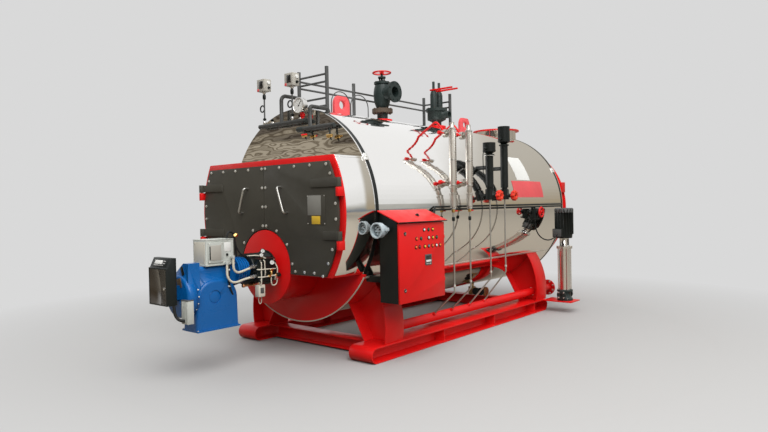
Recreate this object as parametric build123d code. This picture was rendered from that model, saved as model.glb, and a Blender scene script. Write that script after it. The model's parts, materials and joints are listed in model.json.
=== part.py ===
from build123d import *
import math
import os

# Skid-mounted fire-tube steam boiler with burner, fittings, control cabinet and feed pump.
# Millimetres, +Z up. The front, with the smokebox doors and the burner, faces -Y.
# The model is drawn with the boiler axis over X = 0, the front of the cladding at Y = 0
# and the floor at Z = 0, then moved so that the origin is under the middle of its box.

# Boiler body
SHELL_R = 1075.0
SHELL_WALL = 90.0
SHELL_LENGTH = 4120.0
AXIS_Z = 1435.0
SEAM_Z = 810.0
CAP_PLATE = 8.0
TUBE_PLATE = 30.0
TUBE_PLATE_SET_BACK = 10.0
SEAT_GAP = 0.4
WHEEL_CLEARANCE = 0.3

# Smokebox at the front, closed by two doors
SMOKEBOX_DEPTH = 400.0
SMOKEBOX_TOP_RISE = 525.0
SMOKEBOX_FLOOR_DROP = 60.0
SMOKEBOX_PLATE = 20.0
FRAME_PLATE = 20.0
FRAME_BORDER = 90.0
LEAF_MARGIN = 55.0
LEAF_THICKNESS = 22.0
LEAF_GAP = 5.0
LEAF_SEAM = 6.0
LEAF_BOTTOM_MARGIN = 10.0
LINING = 38.0
LINING_MARGIN = 120.0
LINING_SEAM = 50.0

# Door hinges and handles
HINGE_INSET = 30.0
HINGE_R = 26.0
HINGE_PIN_R = 12.0
HINGE_PIN_CLEARANCE = 0.3
HINGE_STAND_OFF = 45.0
HINGE_FIXED_HEIGHT = 80.0
HINGE_MOVING_HEIGHT = 80.0
HINGE_AXIAL_GAP = 5.0
UPPER_HINGE_DROP = 295.0
LOWER_HINGE_DROP = 770.0
STRAP_THICKNESS = 14.0
STRAP_HEIGHT = 74.0
STRAP_LENGTH = 365.0
SHORT_STRAP_LENGTH = 210.0
HANDLE_R = 11.0
HANDLE_STAND_OFF = 52.0
HANDLE_BEND = 24.0
HANDLE_TOP_X = 255.0
HANDLE_TOP_DROP = 270.0
HANDLE_BOTTOM_X = 345.0
HANDLE_HEIGHT = 247.0

# Furnace mouth
FURNACE_RISE = 550.0
NECK_R = 345.0
NECK_WALL = 40.0
BURNER_PLATE_R = 365.0
BURNER_PLATE = 25.0
BURNER_PLATE_GAP = 9.0
FRONT_PLATE_LIP = 50.0
FRONT_PLATE = 20.0

# Rear smokebox and flue outlet
REAR_BOX_R = 930.0
REAR_BOX_WALL = 20.0
REAR_BOX_DEPTH = 380.0
REAR_COVER_LIP = 18.0
REAR_COVER = 24.0
REAR_PLATE = 30.0
REAR_HINGE_RISE = 280.0
REAR_HINGE_HEIGHT = 150.0
REAR_HINGE_R = 42.0
FLUE_R = 300.0
FLUE_WALL = 12.0
FLUE_TOP_RISE = 102.0
FLUE_FLANGE_LIP = 50.0
FLUE_FLANGE = 20.0
FLUE_BOLT_COUNT = 16
FLUE_BOLT_EDGE = 25.0
FLUE_BOLT_R = 9.0

# Skid
RAIL_OUTER_INSET = 55.0
RAIL_WIDTH = 300.0
RAIL_HEIGHT = 155.0
RAIL_PLATE = 14.0
RAIL_WEB = 16.0
RAIL_FRONT_Y = -20.0
RAIL_REAR_SET_BACK = 430.0
RAIL_RIB = 14.0
RAIL_RIB_SPACING = 1075.0
FIRST_RIB_Y = 1190.0
CROSS_BEAM_WIDTH = 160.0
CROSS_BEAM_HEIGHT = 130.0

# Saddles between the rails and the shell
FRONT_SADDLE_Y = 330.0
REAR_SADDLE_SET_BACK = 590.0
SADDLE_WIDTH = 280.0
SADDLE_PLATE = 14.0
SADDLE_OUTER_TOP_DROP = 635.0
SADDLE_BULGE = 62.0
SADDLE_INNER_FOOT_INSET = 25.0
SADDLE_INNER_LEAN = 205.0

# Steam stop valve
STEAM_Y = 1405.0
STEAM_PAD_R = 118.0
STEAM_PAD_RISE = 22.0
STEAM_FLANGE_R = 125.0
STEAM_FLANGE = 24.0
STEAM_LOWER_FLANGE_RISE = 102.0
STEAM_BODY_R = 104.0
STEAM_OUTLET_RISE = 335.0
STEAM_OUTLET_X = 206.0
STEAM_BORE_R = 62.5
STEAM_BOLT_COUNT = 8
STEAM_BOLT_PCD = 210.0
STEAM_BOLT_R = 9.0
STEAM_BONNET_RISE = 475.0
STEAM_BRIDGE_RISE = 540.0
STEAM_WHEEL_RISE = 588.0
STEAM_NECK_R = 64.0
STEAM_NOZZLE_R = 80.0
STEAM_BONNET_R = 96.0
STEAM_GLAND_R = 22.0
STEAM_YOKE_X = 36.0
STEAM_YOKE_R = 9.0
STEAM_BRIDGE_R = 47.0
STEAM_BRIDGE = 18.0
STEAM_BORE_DEPTH = 120.0
STEAM_WHEEL_R = 108.0
STEAM_WHEEL_RIM = 9.0
STEAM_HUB_R = 26.0
STEAM_STEM_R = 13.0

# Lifting lugs
LUG_FRONT_Y = 690.0
LUG_REAR_SET_BACK = 905.0
LUG_LENGTH = 240.0
LUG_HEIGHT = 215.0
LUG_THICKNESS = 40.0
LUG_HOLE_R = 48.0
LUG_HOLE_RISE = 118.0

# Safety valve
SAFETY_X = 92.0
SAFETY_Y = 2410.0
SAFETY_NECK_R = 62.0
SAFETY_CHEST_R = 122.0
SAFETY_CHEST_RISE = 106.0
SAFETY_FLANGE_RISE = 213.0
SAFETY_FLANGE_R = 140.0
SAFETY_FLANGE = 40.0
SAFETY_OUTLET_R = 48.0
SAFETY_OUTLET_LENGTH = 205.0
SAFETY_COLUMN_R = 46.0
SAFETY_COLUMN_RISE = 470.0
SAFETY_SPACING = 124.0
SAFETY_SPINDLE_R = 17.0
SAFETY_TOP_RISE = 602.0
SAFETY_LEVER_RISE = 484.0
SAFETY_LEVER = 20.0
SAFETY_LEVER_WIDTH = 46.0
SAFETY_LEVER_END_X = 385.0

# Guard rail on the crown
GUARD_X = 215.0
GUARD_FRONT_Y = 260.0
GUARD_MIDDLE_Y = 1132.0
GUARD_REAR_Y = 2545.0
GUARD_TOP_RISE = 450.0
GUARD_POST_R = 20.0
GUARD_RAIL_R = 11.0
GUARD_FRONT_RUNG_RISES = (375.0, 295.0, 125.0, 45.0)
GUARD_SIDE_RAIL_RISES = (348.0, 274.0, 52.0)
HOOP_X = -62.0
HOOP_YS = (590.0, 905.0, 1222.0)
HOOP_RISE = 283.0
HOOP_R = 6.0
HOOP_GAP = 14.0
HOOP_BEND = 145.0

# Pressure instruments over the smokebox
MANIFOLD_Y = -60.0
MANIFOLD_R = 24.0
MANIFOLD_LEFT_X = -500.0
MANIFOLD_RIGHT_X = 216.0
MANIFOLD_DROP = 145.0
LOWER_MANIFOLD_LEFT_X = 196.0
LOWER_MANIFOLD_RIGHT_X = 606.0
LOWER_MANIFOLD_DROP = 229.0
RISER_R = 20.0
RISER_X = -140.0
RISER_TOP_RISE = 150.0
RISER_REAR_Y = 195.0
SWITCH_XS = (-417.0, 30.0)
SWITCH_RISE = 225.0
SWITCH_WIDTH = 124.0
SWITCH_DEPTH = 90.0
SWITCH_HEIGHT = 128.0
SWITCH_STEM_R = 8.0
GAUGE_X = 182.0
GAUGE_RISE = 5.0
GAUGE_STEM_R = 9.0
GAUGE_R = 80.0
GAUGE_DEPTH = 48.0

# Level gauges, level probes and their drains on the right side
LEVEL_STAND_OFF = 75.0
LEVEL_YS = (1185.0, 1508.0)
LEVEL_TOP_Z = 2365.0
LEVEL_CHAMBER_TOP_Z = 2300.0
LEVEL_UPPER_COCK_Z = 2255.0
LEVEL_LOWER_COCK_Z = 1732.0
LEVEL_STEP_Z = 1690.0
LEVEL_VALVE_Z = 1610.0
LEVEL_BOTTOM_Z = 1545.0
LEVEL_TUBE_R = 37.0
LEVEL_LOWER_R = 29.0
LEVEL_CAP_R = 24.0
LEVEL_VALVE_R = 15.0
LEVEL_STRIP = 22.0
LEVEL_ARM = 108.0
LEVEL_ARM_R = 18.0
LEVEL_COCK_R = 43.0
LEVEL_COCK = 40.0
LEVEL_COCK_REACH = 84.0
LEVEL_PIPE_R = 13.0
LEVEL_PIPE_FOOT_X = 690.0
LEVEL_PIPE_TOP_X = 945.0
LEVEL_PIPE_TOP_Z = 2394.0
LEVEL_PIPE_BEND = 40.0
PROBE_STAND_OFF = 53.0
PROBE_YS = (1985.0, 2335.0)
PROBE_CAP_TOPS = (2203.0, 2420.0)
PROBE_CAP_HEIGHTS = (105.0, 187.0)
PROBE_CAP_RADII = (74.0, 72.0)
PROBE_TUBE_R = 46.0
PROBE_NECK_R = 34.0
PROBE_COLLAR = 46.0
PROBE_COLLAR_R = 60.0
PROBE_BODY_R = 52.0
PROBE_BODY_HEIGHT = 120.0
PROBE_FOOT_DROP = 45.0
PROBE_VALVE_Z = 1585.0
PROBE_BONNET_R = 24.0
PROBE_ARM_RISE = 330.0
PROBE_ARM_R = 24.0
PROBE_ROOT = 60.0
SIDE_WHEEL_STAND_OFF = 174.0
SIDE_WHEEL_R = 50.0
SIDE_WHEEL_RIM = 12.0
SIDE_HUB_R = 16.0
SIDE_STEM_R = 8.0
FEED_VALVE_Y = 3110.0
FEED_VALVE_Z = 1370.0
FEED_WHEEL_STAND_OFF = 154.0
FEED_WHEEL_R = 60.0
FEED_PIPE_R = 24.0
FEED_BODY_R = 42.0
FEED_BODY_STAND_OFF = 60.0
FEED_BODY_TOP = 48.0
FEED_BODY_BOTTOM = 96.0
FEED_FLANGE_R = 62.0
FEED_FLANGE = 14.0
BLOWDOWN_X = 380.0
BLOWDOWN_Y = 2760.0
BLOWDOWN_Z = 330.0
BLOWDOWN_R = 25.0
BLOWDOWN_END_X = 600.0
DRAIN_R = 9.0
DRAIN_BEND = 30.0
DRAIN_KNEE_ZS = (552.0, 566.0, 624.0, 664.0)
DRAIN_FOOT_YS = (1130.0, 1474.0, 1835.0, 2178.0)
HEADER_INSET = 207.0
HEADER_Z = 262.0
HEADER_R = 50.0
HEADER_FRONT_Y = 478.0
HEADER_REAR_SET_BACK = 80.0
HEADER_FLANGE_R = 110.0
HEADER_FLANGE = 20.0
HEADER_BOLT_COUNT = 8
HEADER_BOLT_PCD = 180.0
HEADER_BOLT_R = 9.0
HEADER_CLEARANCE = 3.0

# Control cabinet
CABINET_STAND_OFF = 13.0
CABINET_DEPTH = 212.0
CABINET_FRONT_Y = 40.0
CABINET_REAR_Y = 755.0
CABINET_BOTTOM_Z = 592.0
CABINET_EAVES_Z = 1350.0
CABINET_RIDGE_Z = 1440.0
CABINET_SHEET = 4.0
CABINET_ROOF = 10.0
CABINET_ROOF_LIP = 24.0
CABINET_DOOR = 17.0
CABINET_DOOR_GAP = 5.0
CABINET_DOOR_MARGIN = 6.0
CABINET_HINGE_R = 8.0
CABINET_PIN_R = 4.0
CABINET_HINGE_OFFSET = 9.0
CABINET_HINGE_ZS = (740.0, 1160.0)
CABINET_KNUCKLE = 32.0
CABINET_BRACKET_ZS = (760.0, 1180.0)
CABINET_BRACKET_HEIGHT = 60.0
SOCKET_STAND_OFF = 75.0
SOCKET_Z = 1268.0
SOCKET_R = 70.0
SOCKET_WALL = 9.0
SOCKET_ROOT_R = 46.0
SOCKET_LENGTH = 118.0
SOCKET_CUP = 62.0
SOCKET_TAPER = 30.0

# Conduits along the side of the shell
CONDUIT_R = 11.0
CONDUIT_ZS = (1440.0, 1470.0)
CONDUIT_REAR_SET_BACK = 60.0
CONDUIT_ENTRY_STAND_OFF = 45.0
CONDUIT_ENTRY_Z = 1330.0
CONDUIT_SWEEP = 90.0

# Cable from the conduits to the pump's motor, and hose from the burner's panel
PUMP_CABLE_R = 8.0
PUMP_CABLE_ROUTE = (
    (1092.0, 3195.0, 1310.0), (1092.0, 3197.0, 1220.0), (1105.0, 3215.0, 1110.0), (1145.0, 3275.0, 1020.0),
    (1195.0, 3370.0, 985.0), (1235.0, 3460.0, 1010.0), (1255.0, 3520.0, 1060.0),
)
OIL_HOSE_R = 11.0
OIL_HOSE_ROUTES = (
    (
        (140.0, -905.0, 1036.0), (144.0, -912.0, 985.0), (152.0, -912.0, 935.0), (160.0, -880.0, 903.0),
        (166.0, -825.0, 913.0), (170.0, -760.0, 932.0), (172.0, -700.0, 944.0),
    ),
    (
        (140.0, -975.0, 985.0), (148.0, -982.0, 930.0), (156.0, -985.0, 873.0), (164.0, -950.0, 826.0),
        (169.0, -895.0, 818.0), (172.0, -830.0, 836.0), (174.0, -765.0, 846.0), (175.0, -700.0, 853.0),
    ),
)
PANEL_HOSE_R = 13.0
PANEL_HOSE_ROUTE = (
    (120.0, -1500.0, 685.0), (120.0, -1498.0, 625.0), (132.0, -1482.0, 575.0), (150.0, -1455.0, 552.0),
    (156.0, -1425.0, 548.0),
)

# Feed pump on its plate beside the skid
PUMP_STAND_OFF = 205.0
PUMP_SET_BACK = 430.0
PUMP_PLATE_REACH = 150.0
PUMP_PLATE_LENGTH = 290.0
PUMP_PLATE = 14.0
PUMP_BODY_R = 80.0
PUMP_FOOT = 26.0
PUMP_FOOT_R = 104.0
PUMP_PORT_Z = 235.0
PUMP_PORT_R = 42.0
PUMP_PORT_FLANGE_R = 62.0
PUMP_PORT_FLANGE = 16.0
PUMP_PORT_REACH = 122.0
PUMP_SLEEVE_R = 72.0
PUMP_STAY_R = 7.0
PUMP_STAY_COUNT = 4
PUMP_HEAD = 32.0
PUMP_LANTERN_R = 62.0
PUMP_LANTERN_WALL = 12.0
PUMP_WINDOW = 60.0
PUMP_SLEEVE_Z = 300.0
PUMP_LANTERN_Z = 862.0
PUMP_MOTOR_Z = 1005.0
PUMP_TOP_Z = 1414.0
PUMP_MOTOR_R = 124.0
PUMP_FIN = 12.0
PUMP_FIN_WIDTH = 6.0
PUMP_FIN_COUNT = 20
PUMP_FAN_COVER = 62.0
PUMP_END_SHIELD = 55.0
PUMP_BOX = (130.0, 110.0)
PUMP_BOX_GLAND = 35.0

# Burner, hung on the burner plate
HEAD_R = 150.0
HEAD_FRONT_Y = -690.0
HEAD_FLANGE_R = 168.0
HEAD_FLANGE = 18.0
FAN_X = 110.0
FAN_FRONT_Y = -1265.0
FAN_REAR_Y = -845.0
FAN_BASE_Z = 428.0
FAN_TOP_Z = 860.0
FAN_DRAFT = 12.0
FAN_ARCH_R = 175.0
FAN_CORNER_R = 28.0
FAN_COVER_Y = -1085.0
FAN_COVER_Z = 706.0
FAN_COVER_R = 60.0
FAN_COVER_DEPTH = 9.0
FAN_FLANGE = 16.0
FAN_FLANGE_LIP = 14.0
SCROLL_Z = 738.0
SCROLL_R = 190.0
SCROLL_STEP = 28.0
SCROLL_ROUND = 34.0
SCROLL_FRONT_Y = -1400.0
THROAT_LEFT_X = 77.0
THROAT_RIGHT_X = 150.0
THROAT_TOP_Z = 1028.0
THROAT_INSET = 22.0
DUCT_HALF_X = 88.0
DUCT_LOW_Z = 800.0
DUCT_TOP_Z = 985.0
DUCT_CORNER_R = 40.0
CONE_START_R = 142.0
CONE_END_R = 118.0
CONE_RIB_COUNT = 5
CONE_RIB_DEPTH = 14.0
FITTINGS_X = 215.0
FITTINGS_Y = (-675.0, -480.0)
FITTINGS_Z = (800.0, 1015.0)
CONTROL_BOX_X = (-90.0, 108.0)
CONTROL_BOX_Y = (-1170.0, -880.0)
CONTROL_BOX_Z = (985.0, 1215.0)
CONTROL_BOX_LIP = 9.0
CONTROL_BOX_LIP_HEIGHT = 14.0
CONTROL_COVER_Y = (-1150.0, -1000.0)
CONTROL_COVER_INSET = 24.0
CONTROL_COVER = 10.0
HOSE_FITTING_WALL = 3.0
JUNCTION_SIZE = (95.0, 200.0)
JUNCTION_DROP = 28.0
JUNCTION_SIDE = 45.0
PANEL_X = (-152.0, 130.0)
PANEL_Y = (-1570.0, -1474.0)
PANEL_Z = (685.0, 1085.0)
PANEL_SHOULDER_Z = 1002.0
PANEL_LEDGE = 12.0
PANEL_SLOPE = 52.0
PANEL_ARM_X = 60.0
PANEL_ARM_Z = (720.0, 840.0)

# Places that follow from the sizes above
SHELL_TOP_Z = AXIS_Z + SHELL_R
FRONT_Y = -SMOKEBOX_DEPTH
FURNACE_Z = AXIS_Z - SHELL_R + FURNACE_RISE
SMOKEBOX_TOP_Z = AXIS_Z + SMOKEBOX_TOP_RISE
SMOKEBOX_FLOOR_Z = FURNACE_Z - SMOKEBOX_FLOOR_DROP
LEAF_BACK_Y = FRONT_Y - LEAF_GAP
LEAF_FRONT_Y = LEAF_BACK_Y - LEAF_THICKNESS
HINGE_X = SHELL_R - HINGE_INSET
HINGE_Y = FRONT_Y - HINGE_STAND_OFF
UPPER_HINGE_Z = SMOKEBOX_TOP_Z - UPPER_HINGE_DROP
LOWER_HINGE_Z = SMOKEBOX_TOP_Z - LOWER_HINGE_DROP
HANDLE_TOP_Z = SMOKEBOX_TOP_Z - HANDLE_TOP_DROP
HANDLE_BOTTOM_Z = HANDLE_TOP_Z - HANDLE_HEIGHT
FRONT_PLATE_R = SHELL_R + FRONT_PLATE_LIP
REAR_HINGE_Z = AXIS_Z + REAR_HINGE_RISE
FLUE_TOP_Z = SHELL_TOP_Z + FLUE_TOP_RISE
FLUE_FLANGE_R = FLUE_R + FLUE_FLANGE_LIP
FLUE_BOLT_PCD = 2 * (FLUE_FLANGE_R - FLUE_BOLT_EDGE)
RAIL_OUTER_X = SHELL_R - RAIL_OUTER_INSET
RAIL_INNER_X = RAIL_OUTER_X - RAIL_WIDTH
RAIL_REAR_Y = SHELL_LENGTH - RAIL_REAR_SET_BACK
REAR_SADDLE_Y = SHELL_LENGTH - REAR_SADDLE_SET_BACK
SADDLE_OUTER_TOP_Z = AXIS_Z - SADDLE_OUTER_TOP_DROP
SADDLE_INNER_FOOT_X = RAIL_INNER_X + SADDLE_INNER_FOOT_INSET
SADDLE_INNER_TOP_X = SADDLE_INNER_FOOT_X - SADDLE_INNER_LEAN
STEAM_PAD_Z = SHELL_TOP_Z + STEAM_PAD_RISE
STEAM_LOWER_FLANGE_Z = SHELL_TOP_Z + STEAM_LOWER_FLANGE_RISE
STEAM_OUTLET_Z = SHELL_TOP_Z + STEAM_OUTLET_RISE
STEAM_BONNET_Z = SHELL_TOP_Z + STEAM_BONNET_RISE
STEAM_BRIDGE_Z = SHELL_TOP_Z + STEAM_BRIDGE_RISE
STEAM_WHEEL_Z = SHELL_TOP_Z + STEAM_WHEEL_RISE
LUG_YS = (LUG_FRONT_Y, SHELL_LENGTH - LUG_REAR_SET_BACK)
LUG_HOLE_Z = SHELL_TOP_Z + LUG_HOLE_RISE
SAFETY_CHEST_Z = SHELL_TOP_Z + SAFETY_CHEST_RISE
SAFETY_FLANGE_Z = SHELL_TOP_Z + SAFETY_FLANGE_RISE
SAFETY_COLUMN_Z = SHELL_TOP_Z + SAFETY_COLUMN_RISE
SAFETY_LEVER_Z = SHELL_TOP_Z + SAFETY_LEVER_RISE
SAFETY_TOP_Z = SHELL_TOP_Z + SAFETY_TOP_RISE
GUARD_TOP_Z = SHELL_TOP_Z + GUARD_TOP_RISE
HOOP_TOP_Z = SHELL_TOP_Z + HOOP_RISE
MANIFOLD_Z = SHELL_TOP_Z - MANIFOLD_DROP
LOWER_MANIFOLD_Z = SHELL_TOP_Z - LOWER_MANIFOLD_DROP
RISER_TOP_Z = SHELL_TOP_Z + RISER_TOP_RISE
SWITCH_Z = SHELL_TOP_Z + SWITCH_RISE
GAUGE_Z = SHELL_TOP_Z + GAUGE_RISE
LEVEL_X = SHELL_R + LEVEL_STAND_OFF
PROBE_X = SHELL_R + PROBE_STAND_OFF
SIDE_WHEEL_X = SHELL_R + SIDE_WHEEL_STAND_OFF
FEED_WHEEL_X = SHELL_R + FEED_WHEEL_STAND_OFF
HEADER_X = SHELL_R - HEADER_INSET
HEADER_REAR_Y = SHELL_LENGTH - HEADER_REAR_SET_BACK
CABINET_BACK_X = SHELL_R + CABINET_STAND_OFF
CABINET_FRONT_X = CABINET_BACK_X + CABINET_DEPTH
SOCKET_X = SHELL_R + SOCKET_STAND_OFF
CONDUIT_REAR_Y = SHELL_LENGTH - CONDUIT_REAR_SET_BACK
CONDUIT_ENTRY_X = SHELL_R + CONDUIT_ENTRY_STAND_OFF
PUMP_X = SHELL_R + PUMP_STAND_OFF
PUMP_Y = SHELL_LENGTH - PUMP_SET_BACK
SIDES = {"left": -1, "right": 1}
REACH = 4 * SHELL_R


def block(xs, ys, zs):
    """A box between pairs of limits."""
    limits = (xs, ys, zs)
    size = [high - low for low, high in limits]
    middle = [(high + low) / 2 for low, high in limits]
    return Pos(*middle) * Box(*size)


def rod(start, end, radius):
    """A round bar from one point to another."""
    run = Vector(*end) - Vector(*start)
    seat = (Align.CENTER, Align.CENTER, Align.MIN)
    return Plane(origin=start, z_dir=run) * Cylinder(radius, run.length, align=seat)


def disc(radius, ys, x=0.0, z=AXIS_Z):
    """A round plate square to Y."""
    return rod((x, ys[0], z), (x, ys[1], z), radius)


def ring(outer, inner, ys, x=0.0, z=AXIS_Z):
    """A tube along Y."""
    return disc(outer, ys, x, z) - disc(inner, ys, x, z)


def pipe(points, radius, bend):
    """A round pipe through points, with every corner bent to one radius."""
    path = FilletPolyline(*points, radius=bend)
    section = Plane(origin=path @ 0, z_dir=path % 0) * Circle(radius)
    return sweep(section, path=path)


def turned(outline, origin, direction):
    """A solid of revolution from (radius, height) points about a line."""
    profile = make_face(Polyline(*[(r, 0, h) for r, h in outline], close=True))
    return Plane(origin=origin, z_dir=direction) * revolve(profile, Axis.Z)


def extruded(points, ys):
    """A prism along Y from an outline of (x, z) points."""
    outline = make_face(Polyline(*[(x, ys[0], z) for x, z in points], close=True))
    return extrude(outline, ys[1] - ys[0], dir=(0, 1, 0))


def shell_z(x, side=1, radius=SHELL_R):
    """Height of the shell's surface at X, on its upper (1) or lower (-1) side."""
    return AXIS_Z + side * math.sqrt(radius**2 - x**2)


def shell_x(z, radius=SHELL_R):
    """Half width of the shell at a height."""
    return math.sqrt(radius**2 - (z - AXIS_Z) ** 2)


def between_heights(low, high):
    return block((-REACH, REACH), (-REACH, 2 * REACH), (low, high))


def half_space(side):
    return block(sorted((0, side * REACH)), (-REACH, 2 * REACH), (-REACH, REACH))


def bolt_holes(count, pcd, radius, origin, direction, depth):
    """Round holes on a pitch circle, cut from the origin along the direction."""
    pattern = PolarLocations(pcd / 2, count, start_angle=180 / count)
    seat = (Align.CENTER, Align.CENTER, Align.MIN)
    holes = [at * Cylinder(radius, depth, align=seat) for at in pattern]
    return Plane(origin=origin, z_dir=direction) * Compound(children=holes)


def handwheel(radius, rim, hub, stem, spokes, origin, direction):
    """A valve's wheel: round rim, straight spokes and a hub bored for the stem."""
    section = Plane.XZ * Pos(radius, 0) * RegularPolygon(rim, 6)
    wheel = revolve(section, Axis.Z) + Cylinder(hub, 3 * rim)
    turn = 360 / spokes
    for i in range(spokes):
        wheel += Rot(0, 0, (i + 0.5) * turn) * block((0, radius), (-rim / 2, rim / 2), (-rim / 3, rim / 3))
    wheel -= Cylinder(stem + WHEEL_CLEARANCE, 4 * rim)
    return Plane(origin=origin, z_dir=direction) * wheel


# Boiler body

def cladding():
    wall = ring(SHELL_R, SHELL_R - SHELL_WALL, (0, SHELL_LENGTH))
    upper = wall & between_heights(SEAM_Z, REACH)
    flue_hole = rod((0, SHELL_LENGTH, AXIS_Z), (0, SHELL_LENGTH, REACH), FLUE_R + SEAT_GAP)
    return {
        "cladding_upper": upper - flue_hole,
        "cladding_lower": wall & between_heights(-REACH, SEAM_Z),
    }


def ends():
    cap = disc(SHELL_R, (-CAP_PLATE, 0)) & between_heights(SMOKEBOX_TOP_Z, REACH)
    inner = SHELL_R - SHELL_WALL - SEAT_GAP
    back = TUBE_PLATE_SET_BACK
    furnace = disc(NECK_R - NECK_WALL, (-REACH, back + TUBE_PLATE), z=FURNACE_Z)
    front = disc(FRONT_PLATE_R, (-FRONT_PLATE, 0)) & between_heights(-REACH, SMOKEBOX_FLOOR_Z)
    rear_ys = (SHELL_LENGTH - REAR_PLATE - TUBE_PLATE_SET_BACK, SHELL_LENGTH - TUBE_PLATE_SET_BACK)
    return {
        "front_cap": cap,
        "tube_plate": disc(inner, (back, back + TUBE_PLATE)) - furnace,
        "front_plate": front - furnace,
        "rear_plate": disc(inner, rear_ys),
    }


def smokebox():
    ys = (FRONT_Y + FRAME_PLATE, 0)
    floor_zs = (SMOKEBOX_FLOOR_Z, SMOKEBOX_FLOOR_Z + SMOKEBOX_PLATE)
    top_zs = (SMOKEBOX_TOP_Z - SMOKEBOX_PLATE, SMOKEBOX_TOP_Z)
    wall = ring(SHELL_R, SHELL_R - SMOKEBOX_PLATE, ys)
    wall &= between_heights(floor_zs[1], top_zs[0])
    neck = disc(NECK_R + SEAT_GAP, ys, z=FURNACE_Z)
    whole = disc(SHELL_R, ys)
    return {
        "smokebox_walls": wall,
        "smokebox_top": whole & between_heights(*top_zs),
        "smokebox_floor": (whole & between_heights(*floor_zs)) - neck,
    }


def door_frame():
    ys = (FRONT_Y, FRONT_Y + FRAME_PLATE)
    plate = disc(SHELL_R, ys) & between_heights(SMOKEBOX_FLOOR_Z, SMOKEBOX_TOP_Z)
    opening = disc(SHELL_R - FRAME_BORDER, ys)
    opening &= between_heights(SMOKEBOX_FLOOR_Z + FRAME_BORDER, SMOKEBOX_TOP_Z - FRAME_BORDER)
    neck = disc(NECK_R + SEAT_GAP, ys, z=FURNACE_Z)
    frame = plate - opening - neck
    for side in SIDES.values():
        for bracket in hinge_brackets(side):
            frame += bracket
    return {"door_frame": frame}


def furnace_mouth():
    neck = ring(NECK_R, NECK_R - NECK_WALL, (FRONT_Y, -FRONT_PLATE), z=FURNACE_Z)
    plate = disc(BURNER_PLATE_R, (FRONT_Y - BURNER_PLATE, FRONT_Y), z=FURNACE_Z)
    return {"furnace_neck": neck, "burner_plate": plate}


# Smokebox doors

def hinge_zs():
    return (UPPER_HINGE_Z, LOWER_HINGE_Z)


def strap_end(side, z):
    """The straps are alike, except that the lower right one is short."""
    short = side == SIDES["right"] and z == LOWER_HINGE_Z
    return side * (HINGE_X - (SHORT_STRAP_LENGTH if short else STRAP_LENGTH))


def door_leaf(side):
    """A leaf with an insulated lining behind it, hinge straps in front and barrels at its edge."""
    ys = (LEAF_FRONT_Y, LEAF_BACK_Y)
    top = SMOKEBOX_TOP_Z - LEAF_MARGIN
    leaf = disc(SHELL_R - LEAF_MARGIN, ys)
    leaf &= between_heights(SMOKEBOX_FLOOR_Z + LEAF_BOTTOM_MARGIN, top)
    leaf &= Pos(side * LEAF_SEAM / 2, 0, 0) * half_space(side)
    leaf -= disc(BURNER_PLATE_R + BURNER_PLATE_GAP, ys, z=FURNACE_Z)
    lining_ys = (LEAF_BACK_Y, LEAF_BACK_Y + LINING)
    lining = disc(SHELL_R - LINING_MARGIN, lining_ys)
    lining &= between_heights(SMOKEBOX_FLOOR_Z + LINING_MARGIN, SMOKEBOX_TOP_Z - LINING_MARGIN)
    lining &= Pos(side * LINING_SEAM / 2, 0, 0) * half_space(side)
    leaf += lining - disc(NECK_R + LINING_MARGIN - FRAME_BORDER, lining_ys, z=FURNACE_Z)
    strap_ys = (LEAF_FRONT_Y - STRAP_THICKNESS, LEAF_FRONT_Y)
    bore_r = HINGE_PIN_R + HINGE_PIN_CLEARANCE
    for z in hinge_zs():
        low = z + HINGE_AXIAL_GAP
        middle = low + HINGE_MOVING_HEIGHT / 2
        xs = sorted((strap_end(side, z), side * HINGE_X))
        strap_zs = (middle - STRAP_HEIGHT / 2, middle + STRAP_HEIGHT / 2)
        leaf += block(xs, strap_ys, strap_zs)
        barrel = (side * HINGE_X, HINGE_Y, low)
        leaf += rod(barrel, (side * HINGE_X, HINGE_Y, low + HINGE_MOVING_HEIGHT), HINGE_R)
        leaf -= rod(barrel, (side * HINGE_X, HINGE_Y, middle + HINGE_R), bore_r)
    return leaf


def hinge_brackets(side):
    """The fixed halves of a door's hinges, welded to the frame, each with its pin."""
    pieces = []
    for z in hinge_zs():
        low = z - HINGE_FIXED_HEIGHT
        x = side * HINGE_X
        barrel = rod((x, HINGE_Y, low), (x, HINGE_Y, z), HINGE_R)
        foot = block((x - HINGE_R, x + HINGE_R), (HINGE_Y, FRONT_Y), (low, z))
        pin_top = z + HINGE_AXIAL_GAP + HINGE_MOVING_HEIGHT / 2
        pin = rod((x, HINGE_Y, low), (x, HINGE_Y, pin_top), HINGE_PIN_R)
        pieces.append(barrel + foot + pin)
    return pieces


def door_handle(side):
    grip_y = LEAF_FRONT_Y - HANDLE_STAND_OFF
    top_x, bottom_x = side * HANDLE_TOP_X, side * HANDLE_BOTTOM_X
    points = [
        (top_x, LEAF_FRONT_Y, HANDLE_TOP_Z),
        (top_x, grip_y, HANDLE_TOP_Z),
        (bottom_x, grip_y, HANDLE_BOTTOM_Z),
        (bottom_x, LEAF_FRONT_Y, HANDLE_BOTTOM_Z),
    ]
    return pipe(points, HANDLE_R, HANDLE_BEND)


def doors():
    nodes = {}
    for name, side in SIDES.items():
        nodes[f"door_{name}"] = door_leaf(side)
        nodes[f"door_{name}_handle"] = door_handle(side)
    return nodes


# Rear smokebox and flue outlet

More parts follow.
